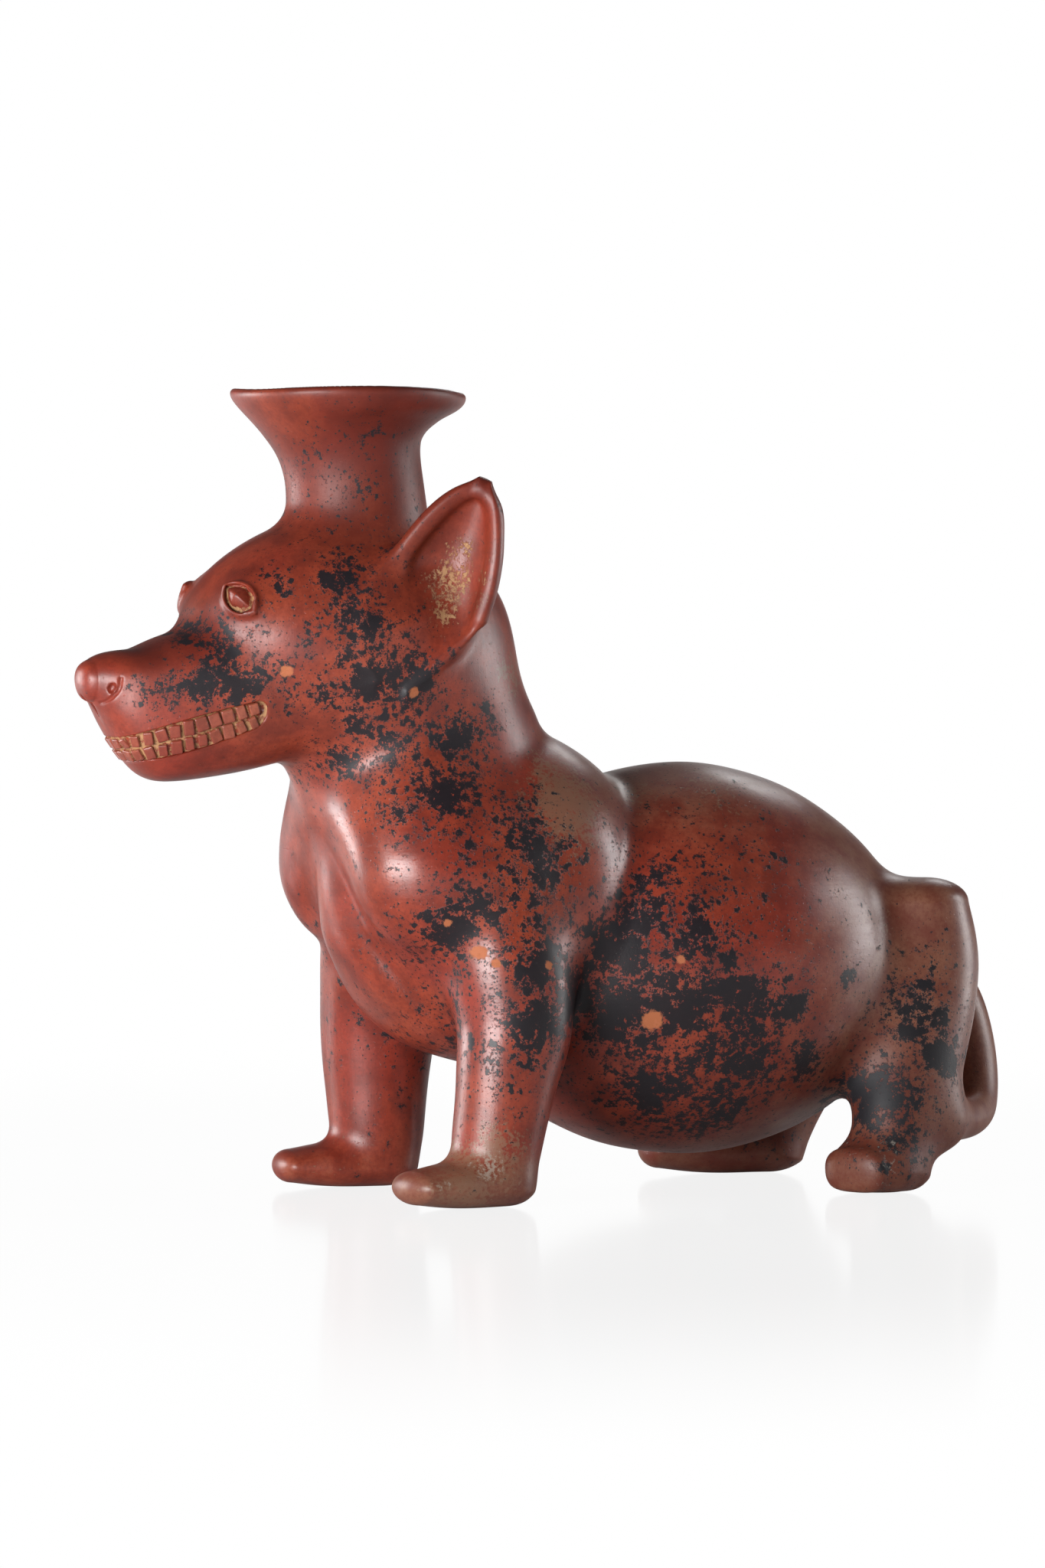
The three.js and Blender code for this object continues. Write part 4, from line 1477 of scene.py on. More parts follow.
@dataclass(frozen=True)
class Pad:
    """One clay tooth before it is set: how round, how uneven and how askew it is, and its pale earth.

    The earth thickens from its clean top down to its dirty sides, by height against the pad's own.
    """

    levels: int = 3
    crease: float = 0.6
    smallest: Point = (0.62, 0.8, 0.86)
    largest: Point = (1.02, 1.06, 1.04)
    askew: Point = (0.14, 0.09, 0.2)
    clean_at: float = 0.46
    dirty_at: float = 0.2
    least_earth: float = 0.22
    most_earth: float = 0.62


@dataclass(frozen=True)
class ToothRow:
    """A row of clay teeth round the mouth, each a pad pressed level with the lips.

    Its line starts as part of an oval round the muzzle, and is then laid on the clay.
    """

    node: str
    above: float
    pitch: float = 5.0
    gap: float = 0.5
    thickness: float = 3.2
    sunk: float = 1.5
    seed: int = 7
    pad: Pad = Pad()
    half_turn: float = 88.0
    points: int = 90
    oval: Pair = (46.0, 27.0)
    from_corner: float = 3.0
    passes: int = 12

    def line(self, head: Head, skin: Form) -> tuple[Array, Array, Array]:
        """Where the row runs.

        Args:
            head: the head's sizes.
            skin: the clay that it runs round.

        Returns:
            Points, the outward direction at each, and how tall a tooth is there, in millimetres.
        """
        turn = np.radians(np.linspace(-self.half_turn, self.half_turn, self.points))
        back = head.mouth_front[0] + head.mouth_length - self.from_corner
        long, wide = self.oval
        p = np.stack([back - long * np.cos(turn), wide * np.sin(turn), np.zeros(len(turn))], axis=1)
        for _ in range(self.passes):
            p[:, 2] = head.mouth_level(p[:, 0]) + self.above * head.mouth_height(p[:, 0]) / 4
            p = laid_on(skin, p, self.sunk)
        return p, uphill(skin, p), head.mouth_height(p[:, 0]) / 2 - self.gap

    def build(self, head: Head, skin: Form, finish: bpy.types.Material) -> Object:
        """The row as one mesh.

        Args:
            head: the head's sizes.
            skin: the clay that it runs round.
            finish: its material.

        Returns:
            The object, linked to the scene.
        """
        points, outward, tall = self.line(head, skin)
        mesh = bpy.data.meshes.new(f"{self.node}_line")
        edges = [(i, i + 1) for i in range(len(points) - 1)]
        mesh.from_pydata((points * MM).tolist(), edges, [])
        mesh.attributes.new("outward", "FLOAT_VECTOR", "POINT").data.foreach_set("vector", outward.ravel())
        mesh.attributes.new("tall", "FLOAT", "POINT").data.foreach_set("value", tall * MM)
        guide = placed(f"{self.node}_line", mesh)
        tree = tooth_tree(self.pad)
        maker = guide.modifiers.new("teeth", "NODES")
        maker.node_group = tree
        wanted = {
            "Pitch": self.pitch * MM,
            "Gap": self.gap * MM,
            "Thickness": self.thickness * MM,
            "Seed": self.seed,
            "Finish": finish,
        }
        for item in tree.interface.items_tree:
            if item.name in wanted:
                maker[item.identifier] = wanted[item.name]
        seen = guide.evaluated_get(bpy.context.evaluated_depsgraph_get())
        row = placed(f"{self.node}_pads", bpy.data.meshes.new_from_object(seen))
        bpy.data.objects.remove(guide)
        return row


TOOTH_ROWS = (ToothRow("upper_teeth", 1.0, seed=7), ToothRow("lower_teeth", -1.0, seed=23))


def tooth_tree(pad: Pad) -> Tree:
    """The steps that set pads along a line, as a geometry tree.

    Args:
        pad: the tooth that is set.

    Returns:
        The tree, with inputs for the row's sizes.
    """
    tree = bpy.data.node_groups.new("tooth_row", "GeometryNodeTree")
    sockets = {"Line": "Geometry", "Pitch": "Float", "Gap": "Float", "Thickness": "Float"}
    sockets |= {"Seed": "Int", "Finish": "Material"}
    for name, kind in sockets.items():
        tree.interface.new_socket(name, in_out="INPUT", socket_type=f"NodeSocket{kind}")
    tree.interface.new_socket("Teeth", in_out="OUTPUT", socket_type="NodeSocketGeometry")
    g = Graph(tree)
    given = tree.nodes.new("NodeGroupInput").outputs
    curve = g.one("GeometryNodeMeshToCurve", {"Mesh": given["Line"]})
    spaced = g.one("GeometryNodeResampleCurve", {"Curve": curve, "Length": given["Pitch"]}, mode="LENGTH")
    tooth = g.one("GeometryNodeMeshCube", {"Size": (1, 1, 1)})
    inputs = {"Mesh": tooth, "Level": pad.levels, "Edge Crease": pad.crease}
    tooth = g.one("GeometryNodeSubdivisionSurface", inputs)
    tooth = g.one("GeometryNodeSetShadeSmooth", {"Geometry": tooth})
    place = g.one("GeometryNodeInputPosition", {})
    height = g.add("ShaderNodeSeparateXYZ", {0: place}).outputs["Z"]
    inputs = {"Value": height, "From Min": pad.clean_at, "From Max": pad.dirty_at}
    inputs |= {"To Min": pad.least_earth, "To Max": pad.most_earth}
    earth = g.one("ShaderNodeMapRange", inputs)
    inputs = {"Geometry": tooth, "Name": Paint.DEPOSIT.value, "Value": earth}
    tooth = g.one("GeometryNodeStoreNamedAttribute", inputs, data_type="FLOAT", domain="POINT")
    outward = g.one("GeometryNodeInputNamedAttribute", {"Name": "outward"}, data_type="FLOAT_VECTOR")
    along = g.one("GeometryNodeInputTangent", {})
    facing = g.one("FunctionNodeAlignRotationToVector", {"Vector": outward}, axis="Z")
    inputs = {"Rotation": facing, "Vector": along}
    turned = g.one("FunctionNodeAlignRotationToVector", inputs, axis="X", pivot_axis="Z")
    least = tuple(-part for part in pad.askew)
    inputs = {0: least, 1: pad.askew, "Seed": g.math("ADD", given["Seed"], 1.0)}
    askew = g.one("FunctionNodeRandomValue", inputs, data_type="FLOAT_VECTOR")
    askew = g.one("FunctionNodeEulerToRotation", {0: askew})
    inputs = {"Rotation": turned, "Rotate By": askew}
    turned = g.one("FunctionNodeRotateRotation", inputs, rotation_space="LOCAL")
    tall = g.one("GeometryNodeInputNamedAttribute", {"Name": "tall"}, data_type="FLOAT")
    wide = g.math("SUBTRACT", given["Pitch"], given["Gap"])
    size = g.one("ShaderNodeCombineXYZ", {0: wide, 1: tall, 2: given["Thickness"]})
    inputs = {0: pad.smallest, 1: pad.largest, "Seed": given["Seed"]}
    uneven = g.one("FunctionNodeRandomValue", inputs, data_type="FLOAT_VECTOR")
    size = g.one("ShaderNodeVectorMath", {0: size, 1: uneven}, operation="MULTIPLY")
    inputs = {"Points": spaced, "Instance": tooth, "Rotation": turned, "Scale": size}
    teeth = g.one("GeometryNodeInstanceOnPoints", inputs)
    teeth = g.one("GeometryNodeRealizeInstances", {"Geometry": teeth})
    teeth = g.one("GeometryNodeSetMaterial", {"Geometry": teeth, "Material": given["Finish"]})
    g.link(teeth, tree.nodes.new("NodeGroupOutput").inputs[0])
    return tree


# What lies on the clay


@dataclass(frozen=True)
class Mark:
    """A soft round mark, as seen from the dog's left: its place along and up, in millimetres."""

    x: float
    z: float
    radius: float
    strength: float = 1.0


class Paint(Enum):
    """What varies over the clay, each kept as a mesh attribute."""

    BLOOM = "bloom"
    WEAR = "wear"
    DEPOSIT = "deposit"
    DUST = "dust"
    SPALL = "spall"
    # Painted shade on the tops of the head, muzzle and spout, where little light falls; the same dark, dull
    # coat lies low on the belly and hind legs and faintly on the back
    SMOKE = "smoke"
    BROWN = "brown"
    UPRIGHT = "upright"


def marks(*rows: tuple[float, ...]) -> tuple[Mark, ...]:
    """Marks from their places, radii and strengths, set after the photograph."""
    return tuple(Mark(*row) for row in rows)


HEAD_BLOOMS = marks(
    (-96, 216, 12, 0.6), (-89, 196, 9, 0.85), (-70, 196, 8, 0.85), (-80, 209, 9, 0.5),
    (-94, 235, 10, 0.45), (-112, 192, 8, 0.45), (-166, 192, 8, 0.65), (-150, 195, 9, 0.65),
    (-135, 195, 8, 0.58), (-126, 201, 7, 0.6), (-140, 210, 10, 0.45), (-120, 234, 6, 0.6),
    (-100, 236, 7, 0.4), (-148, 218, 8, 0.35), (-90, 275, 30, 0.25), (-88, 205, 34, 0.26),
    (-145, 203, 24, 0.22),
)
NECK_BLOOMS = marks(
    (-52, 176, 10, 0.8), (-78, 178, 10, 0.55), (-93, 182, 7, 0.5), (-38, 186, 8, 0.45),
    (-93, 166, 10, 0.5), (-62, 155, 10, 0.7), (-81, 147, 6, 0.55), (-65, 165, 30, 0.3),
)
SHOULDER_BLOOMS = marks(
    (-34, 141, 13, 0.62), (-26, 125, 9, 0.65), (-63, 106, 12, 0.72), (-46, 114, 9, 0.55),
    (-30, 94, 11, 0.75), (-14, 78, 11, 0.8), (-32, 68, 13, 0.55), (-42, 115, 42, 0.32),
    (-45, 45, 30, 0.22), (-45, 72, 18, 0.25),
)
BELLY_BLOOMS = marks(
    (20, 115, 14, 0.55), (37, 103, 10, 0.5), (5, 97, 12, 0.65), (55, 77, 9, 0.85),
    (28, 75, 17, 0.66), (6, 72, 13, 0.7), (61, 54, 14, 0.7), (75, 72, 7, 0.7),
    (100, 84, 4, 0.85), (27, 43, 15, 0.7), (53, 31, 14, 0.62), (86, 52, 10, 0.68),
    (50, 135, 50, 0.2), (38, 70, 52, 0.36),
)
HAUNCH_BLOOMS = marks(
    (133, 68, 14, 0.66), (142, 50, 9, 0.7), (140, 92, 8, 0.4), (119, 38, 8, 0.5),
    (138, 62, 36, 0.33), (122, 22, 22, 0.5), (112, 40, 10, 0.5),
)
SPECKS = marks(
    (-50, 100, 110, 0.13), (70, 80, 90, 0.11), (-100, 230, 50, 0.12), (-78, 280, 45, 0.14),
)
MARKS: dict[Paint, tuple[Mark, ...]] = {
    Paint.BLOOM: HEAD_BLOOMS + NECK_BLOOMS + SHOULDER_BLOOMS + BELLY_BLOOMS + HAUNCH_BLOOMS + SPECKS,
    Paint.WEAR: marks(
        (-14, 150, 22, 0.85), (25, 158, 14, 0.6), (60, 160, 24, 0.5), (120, 103, 16, 0.45),
        (-46, 22, 16, 0.6), (-64, 10, 18, 0.75), (-24, 200, 14, 0.6), (-57, 231, 13, 0.6),
    ),
    Paint.DEPOSIT: marks((-55, 236, 9, 0.6), (-60, 222, 7, 0.55), (-52, 248, 6, 0.4)),
    Paint.DUST: marks((-52, 16, 8, 0.62), (-72, 11, 7, 0.4), (114, 14, 16, 0.34)),
    # Painted shade: darker, duller patches on the spout, forehead and muzzle top, where little light falls;
    # the rest lie low on the belly and hind legs and faintly on the back
    Paint.SMOKE: marks(
        (-78, 284, 36, 0.7), (-88, 256, 13, 0.75), (-46, 224, 10, 0.5), (114, 8, 14, 0.45),
        (-78, 304, 36, 0.6), (-148, 219, 14, 0.8), (-165, 208, 11, 0.8), (118, 44, 14, 0.7),
        (-60, 178, 22, 0.3), (125, 25, 26, 0.6), (60, 30, 34, 0.5), (60, 165, 45, 0.12),
    ),
    Paint.SPALL: marks(
        (-119, 201, 2.4), (19, 69, 4.0), (-53, 96, 2.8), (-48, 92, 1.8),
        (-28, 91, 1.8), (28, 92, 1.8), (-64, 107, 1.5), (-72, 193, 2.2),
    ),
}

# How much of each kind the dog's right side has, where it has any, and from where on Y that counts
RIGHT_SHARES = {Paint.BLOOM: 0.8, Paint.WEAR: 0.4, Paint.DEPOSIT: 0.8, Paint.SMOKE: 1.0}
RIGHT_FROM = 10.0


def rising(values: Array, start: float, width: float, most: float = 1.0) -> Array:
    """A ramp from 0 at start towards 1 over a width, which is negative for one that falls, up to most."""
    return np.clip((values - start) / width, 0, most)


@dataclass(frozen=True)
class Coat:
    """Where the slip's burnish and colour change over the dog, in millimetres."""

    neck_foot: float = 150.0
    breast: float = 0.0
    leg_top: float = 75.0
    belly_middle: float = 50.0
    belly_half: float = 60.0
    rump: float = 62.0
    rump_low: float = 45.0
    back: float = 128.0
    back_front: float = -25.0
    back_most: float = 0.75
    ankle: float = 26.0
    ankle_width: float = 18.0
    foot_most: float = 0.8
    right_foot: float = 0.35
    upright_fade: float = 25.0
    along_fade: float = 20.0
    back_fade: Pair = (40.0, 30.0)

    def upright(self, p: Array) -> Array:
        """Where the burnisher went up and down: on neck, spout and legs."""
        x, _, z = p.T
        neck = rising(z, self.neck_foot, self.upright_fade) * rising(x, self.breast, -self.along_fade)
        off_belly = rising(np.abs(x - self.belly_middle), self.belly_half, self.along_fade)
        return np.maximum(neck, rising(z, self.leg_top, -self.upright_fade) * off_belly)

    def brown(self, p: Array) -> Array:
        """How far the slip has turned brown: towards the tail, on the back and on the left forefoot."""
        x, y, z = p.T
        under = np.clip(self.rump_low - z, 0, self.rump_low)
        rear = rising(x + under, self.rump, self.rump)
        up, along = self.back_fade
        back = rising(z, self.back, up, self.back_most) * rising(x, self.back_front, along)
        foot = rising(z, self.ankle, -self.ankle_width, self.foot_most)
        foot = foot * rising(x, self.breast, -self.along_fade) * np.where(y < 0, 1, self.right_foot)
        return np.maximum.reduce([rear, back, foot])


COAT = Coat()


def marked(p: Array, kind: Paint) -> Array:
    """How strongly one kind of marks shows at points, from 0 to 1."""
    bare = np.ones(len(p))
    for mark in MARKS[kind]:
        apart = (p[:, 0] - mark.x) ** 2 + (p[:, 2] - mark.z) ** 2
        bare *= 1 - mark.strength * np.exp(-apart / mark.radius**2)
    return (1 - bare) * np.where(p[:, 1] > RIGHT_FROM, RIGHT_SHARES.get(kind, 0.0), 1.0)


@dataclass(frozen=True)
class PackedEarth:
    """The pale earth caught in the mouth's channel and round the eyes, by depths in millimetres."""

    mouth_most: float = 0.66
    mouth_from: float = 0.3
    mouth_over: float = 0.5
    mouth_reach: float = 0.4
    eye_level: float = 0.35
    eye_over: float = 1.5
    eye_most: float = 0.75
    eye_inset: float = 0.2
    eye_reach: float = 3.0

    def amount(self, p: Array, vessel: Vessel) -> Array:
        """How much there is, from 0 to 1.

        Args:
            p: points, one row each.
            vessel: the clay that they lie on.

        Returns:
            One amount for each point.
        """
        caught = np.zeros(len(p))
        face = np.nonzero(p[:, 0] < vessel.head.skull[0])[0]
        if len(face):
            q = p[face]
            sunk = rising(-vessel.body.distance(q), self.mouth_from, self.mouth_over)
            in_mouth = vessel.channel.distance(q) < self.mouth_reach
            found = np.where(in_mouth, self.mouth_most * sunk, 0)
            for side in Side:
                ring = vessel.head.eye(side)
                local = ring.local(q)
                height = local[:, 2]
                in_eye = (ring.outline(local) < -self.eye_inset) & (np.abs(height) < self.eye_reach)
                in_ring = np.clip(self.eye_level - height / self.eye_over, 0, self.eye_most)
                found = np.where(in_eye, in_ring, found)
            caught[face] = found
        return caught


EARTH = PackedEarth()


def paint(obj: Object, vertices: Array, vessel: Vessel) -> None:
    """Keep every kind of paint on a piece as an attribute.

    Args:
        obj: the piece.
        vertices: its vertices, in millimetres.
        vessel: the clay that it is part of.
    """
    for kind in Paint:
        if kind is Paint.UPRIGHT:
            values = COAT.upright(vertices)
        elif kind is Paint.BROWN:
            values = COAT.brown(vertices)
        else:
            values = marked(vertices, kind)
        if kind is Paint.DEPOSIT:
            values = np.maximum(values, EARTH.amount(vertices, vessel))
        layer = obj.data.attributes.new(kind.value, "FLOAT", "POINT")
        layer.data.foreach_set("value", values.astype(np.float32))


# Finishes


def shade(red: int, green: int, blue: int) -> Colour:
    """A colour as seen on a screen, from 0 to 255, in the renderer's own scale."""
    parts = [c / 255 for c in (red, green, blue)]
    linear = [c / 12.92 if c <= 0.04045 else ((c + 0.055) / 1.055) ** 2.4 for c in parts]
    return (linear[0], linear[1], linear[2], 1.0)


@dataclass(frozen=True)
class Cloud:
    """Cloudy noise: its size in millimetres, how many finer layers it has, and how strong these are.

    It may be stretched, by so many times each way.
    """

    size: float
    detail: float
    rough: float
    stretch: Point = (1.0, 1.0, 1.0)


class Graph:
    """A node tree, with short words for its usual steps."""

    def __init__(self, tree: Tree) -> None:
        """Keep the tree."""
        self.tree = tree

    def add(self, kind: str, inputs: Mapping[str | int, Any], **settings: Any) -> bpy.types.Node:
        """Add a node.

        Args:
            kind: the node's type.
            inputs: what goes into it, a socket to link or a value to set.
            settings: its other properties.

        Returns:
            The node.
        """
        node = self.tree.nodes.new(kind)
        for key, value in settings.items():
            setattr(node, key, value)
        for key, value in inputs.items():
            if isinstance(value, Plug):
                self.tree.links.new(value, node.inputs[key])
            else:
                node.inputs[key].default_value = value
        return node

    def one(self, kind: str, inputs: Mapping[str | int, Any], **settings: Any) -> Plug:
        """Add a node as above, and give its first output."""
        return self.add(kind, inputs, **settings).outputs[0]

    def link(self, value: Plug, socket: Plug) -> None:
        """Lead a value into a socket."""
        self.tree.links.new(value, socket)

    def math(self, operation: str, a: Any, b: Any = 0.0, c: Any = 0.0) -> Plug:
        """One step of arithmetic."""
        return self.one("ShaderNodeMath", {0: a, 1: b, 2: c}, operation=operation)

    def mix(self, share: Any, a: Any, b: Any) -> Plug:
        """One colour over another."""
        return self.add("ShaderNodeMix", {0: share, 6: a, 7: b}, data_type="RGBA").outputs[2]

    def lerp(self, share: Any, a: Any, b: Any) -> Plug:
        """A value between two others."""
        return self.one("ShaderNodeMix", {0: share, 2: a, 3: b}, data_type="FLOAT")

    def ramp(self, value: Any, low: Any, high: Any) -> Plug:
        """A soft step from 0 to 1 as the value goes from low to high."""
        inputs = {"Value": value, "From Min": low, "From Max": high}
        return self.one("ShaderNodeMapRange", inputs, interpolation_type="SMOOTHSTEP")

    def step(self, value: Any, edge: Plug, soft: float) -> Plug:
        """A step from 0 to 1 at an edge, softened by that much on each side."""
        return self.ramp(value, self.math("SUBTRACT", edge, soft), self.math("ADD", edge, soft))

    def noise(self, place: Plug, cloud: Cloud) -> Plug:
        """Cloudy values from 0 to 1, at places in millimetres."""
        if cloud.stretch != (1.0, 1.0, 1.0):
            shrink = tuple(1 / part for part in cloud.stretch)
            place = self.one("ShaderNodeVectorMath", {0: place, 1: shrink}, operation="MULTIPLY")
        inputs = {"Vector": place, "Scale": 1 / cloud.size, "Detail": cloud.detail, "Roughness": cloud.rough}
        return self.one("ShaderNodeTexNoise", inputs)

    def cells(self, place: Plug, size: float) -> tuple[Plug, Plug]:
        """Scattered points: the distance to the nearest, in cells, and a value of its own."""
        node = self.add("ShaderNodeTexVoronoi", {"Vector": place, "Scale": 1 / size})
        parts = self.add("ShaderNodeSeparateColor", {0: node.outputs["Color"]})
        return node.outputs["Distance"], parts.outputs[0]

    def attribute(self, kind: Paint) -> Plug:
        """A kind of paint on the piece."""
        return self.add("ShaderNodeAttribute", {}, attribute_name=kind.value).outputs["Fac"]


FLOAT, VECTOR = "NodeSocketFloat", "NodeSocketVector"


def new_group(name: str, inputs: Sequence[str], outputs: Sequence[str]) -> tuple[Graph, Any, Any]:
    """An empty shader group, which goes by the place on the clay.

    Args:
        name: of the group.
        inputs: names of the values that go in beside the place.
        outputs: names of the values that come out.

    Returns:
        Its graph, its input sockets and its output sockets.
    """
    tree = bpy.data.node_groups.new(name, "ShaderNodeTree")
    tree.interface.new_socket("Place", in_out="INPUT", socket_type=VECTOR)
    for way, labels in (("INPUT", inputs), ("OUTPUT", outputs)):
        for label in labels:
            tree.interface.new_socket(label, in_out=way, socket_type=FLOAT)
    return Graph(tree), tree.nodes.new("NodeGroupInput").outputs, tree.nodes.new("NodeGroupOutput").inputs


@dataclass(frozen=True)
class Spots:
    """Scattered spots: the size of their cells, the reach of the largest, and how many there are at least."""

    size: float
    most: float
    least: float


@dataclass(frozen=True)
class Blooms:
    """Black mineral blooms: ragged blotches, round spots and specks."""

    blotches: Cloud = Cloud(11.0, 8.0, 0.70)
    rags: Cloud = Cloud(3.0, 6.0, 0.76)
    rag_share: float = 0.55
    bare_edge: float = 0.635
    edge_drop: float = 0.19
    dense_drop: float = 0.08
    dense_power: float = 4.0
    edge_soft: float = 0.01
    spots: tuple[Spots, ...] = (
        Spots(8.0, 0.44, 0.0),
        Spots(3.4, 0.42, 0.04),
        Spots(1.6, 0.42, 0.08),
        Spots(0.9, 0.42, 0.1),
    )
    spot_share: float = 0.62
    spot_range: float = 0.32
    spot_soft: float = 0.05
    warp_scale: float = 1.6
    warp_detail: float = 5.0
    warp_rough: float = 0.78
    warp_reach: float = 1.5

    def build(self) -> Tree:
        """The group, by how dense the blooms are."""
        g, given, out = new_group("mineral_blooms", ["Density"], ["Mask"])
        place, density = given["Place"], given["Density"]
        value = g.lerp(self.rag_share, g.noise(place, self.blotches), g.noise(place, self.rags))
        dense = g.math("POWER", density, self.dense_power)
        edge = g.math("MULTIPLY_ADD", dense, -self.dense_drop, self.bare_edge)
        edge = g.math("MULTIPLY_ADD", density, -self.edge_drop, edge)
        mask = g.step(value, edge, self.edge_soft)
        for spots in self.spots:
            rare = g.math("SUBTRACT", 1.0, g.math("MULTIPLY_ADD", density, self.spot_share, spots.least))
            apart, own = g.cells(self.warped(g, place, spots.size), spots.size)
            grown = g.ramp(own, rare, g.math("ADD", rare, self.spot_range))
            reach = g.math("MULTIPLY", grown, spots.most)
            spot = g.ramp(g.math("SUBTRACT", reach, apart), 0.0, self.spot_soft)
            mask = g.math("MAXIMUM", mask, spot)
        g.link(mask, out["Mask"])
        return g.tree

    def warped(self, g: Graph, place: Plug, size: float) -> Plug:
        """Places shifted about, so that spots of a size have ragged edges."""
        inputs = {"Vector": place, "Scale": self.warp_scale / size}
        inputs |= {"Detail": self.warp_detail, "Roughness": self.warp_rough}
        warp = g.add("ShaderNodeTexNoise", inputs).outputs["Color"]
        shift = g.one("ShaderNodeVectorMath", {0: warp, 1: (0.5, 0.5, 0.5)}, operation="SUBTRACT")
        inputs = {0: shift, 1: (self.warp_reach * size,) * 3, 2: place}
        return g.one("ShaderNodeVectorMath", inputs, operation="MULTIPLY_ADD")


@dataclass(frozen=True)
class Burnish:
    """Strokes of the burnishing stone, level on the trunk and upright on neck and legs."""

    level: Cloud = Cloud(2.2, 3.0, 0.6, (16.0, 16.0, 1.0))
    upright: Cloud = Cloud(2.2, 3.0, 0.6, (1.0, 1.0, 16.0))
    pits: Cloud = Cloud(1.1, 2.0, 0.6)
    pit_range: Pair = (0.34, 0.24)
    grain: Cloud = Cloud(0.6, 2.0, 0.5)
    patches: Cloud = Cloud(26.0, 4.0, 0.6)
    stroke_depth: float = 0.35
    grain_depth: float = 0.25
    pit_depth: float = 0.6
    patch_share: float = 0.5

    def build(self) -> Tree:
        """The group, by how far the strokes go upright."""
        g, given, out = new_group("burnish_strokes", ["Upright"], ["Height", "Polish"])
        place = given["Place"]
        strokes = g.lerp(given["Upright"], g.noise(place, self.level), g.noise(place, self.upright))
        pits = g.ramp(g.noise(place, self.pits), *self.pit_range)
        grain = g.math("MULTIPLY", g.noise(place, self.grain), self.grain_depth)
        height = g.math("MULTIPLY_ADD", strokes, self.stroke_depth, grain)
        height = g.math("SUBTRACT", height, g.math("MULTIPLY", pits, self.pit_depth))
        g.link(height, out["Height"])
        g.link(g.lerp(self.patch_share, strokes, g.noise(place, self.patches)), out["Polish"])
        return g.tree


@dataclass(frozen=True)
class Mottle:
    """Slow and fine changes of the slip's colour."""

    slow: Cloud = Cloud(60.0, 3.0, 0.55)
    slow_range: Pair = (0.36, 0.64)
    clouds: Cloud = Cloud(12.0, 5.0, 0.65)
    cloud_range: Pair = (0.34, 0.68)
    fine: Cloud = Cloud(1.4, 3.0, 0.65)

    def build(self) -> Tree:
        """The group."""
        g, given, out = new_group("slip_mottle", [], ["Slow", "Cloud", "Fine"])
        place = given["Place"]
        g.link(g.ramp(g.noise(place, self.slow), *self.slow_range), out["Slow"])
        g.link(g.ramp(g.noise(place, self.clouds), *self.cloud_range), out["Cloud"])
        g.link(g.noise(place, self.fine), out["Fine"])
        return g.tree


@dataclass(frozen=True)
class Cover:
    """A ragged cover that shows where there is some amount of it."""

    flakes: Cloud = Cloud(6.0, 6.0, 0.7)
    crumbs: Cloud = Cloud(1.5, 4.0, 0.7)
    crumb_share: float = 0.45
    bare_edge: float = 0.74
    edge_drop: float = 0.42
    edge_soft: float = 0.05

    def build(self) -> Tree:
        """The group, by the amount."""
        g, given, out = new_group("ragged_cover", ["Amount"], ["Mask"])
        place = given["Place"]
        value = g.lerp(self.crumb_share, g.noise(place, self.flakes), g.noise(place, self.crumbs))
        edge = g.math("MULTIPLY_ADD", given["Amount"], -self.edge_drop, self.bare_edge)
        g.link(g.step(value, edge, self.edge_soft), out["Mask"])
        return g.tree


class Effects:
    """The effects that the vessel's finishes share, as shader groups."""

    def __init__(self) -> None:
        """Build every group once."""
        self.blooms = Blooms().build()
        self.burnish = Burnish().build()
        self.mottle = Mottle().build()
        self.cover = Cover().build()


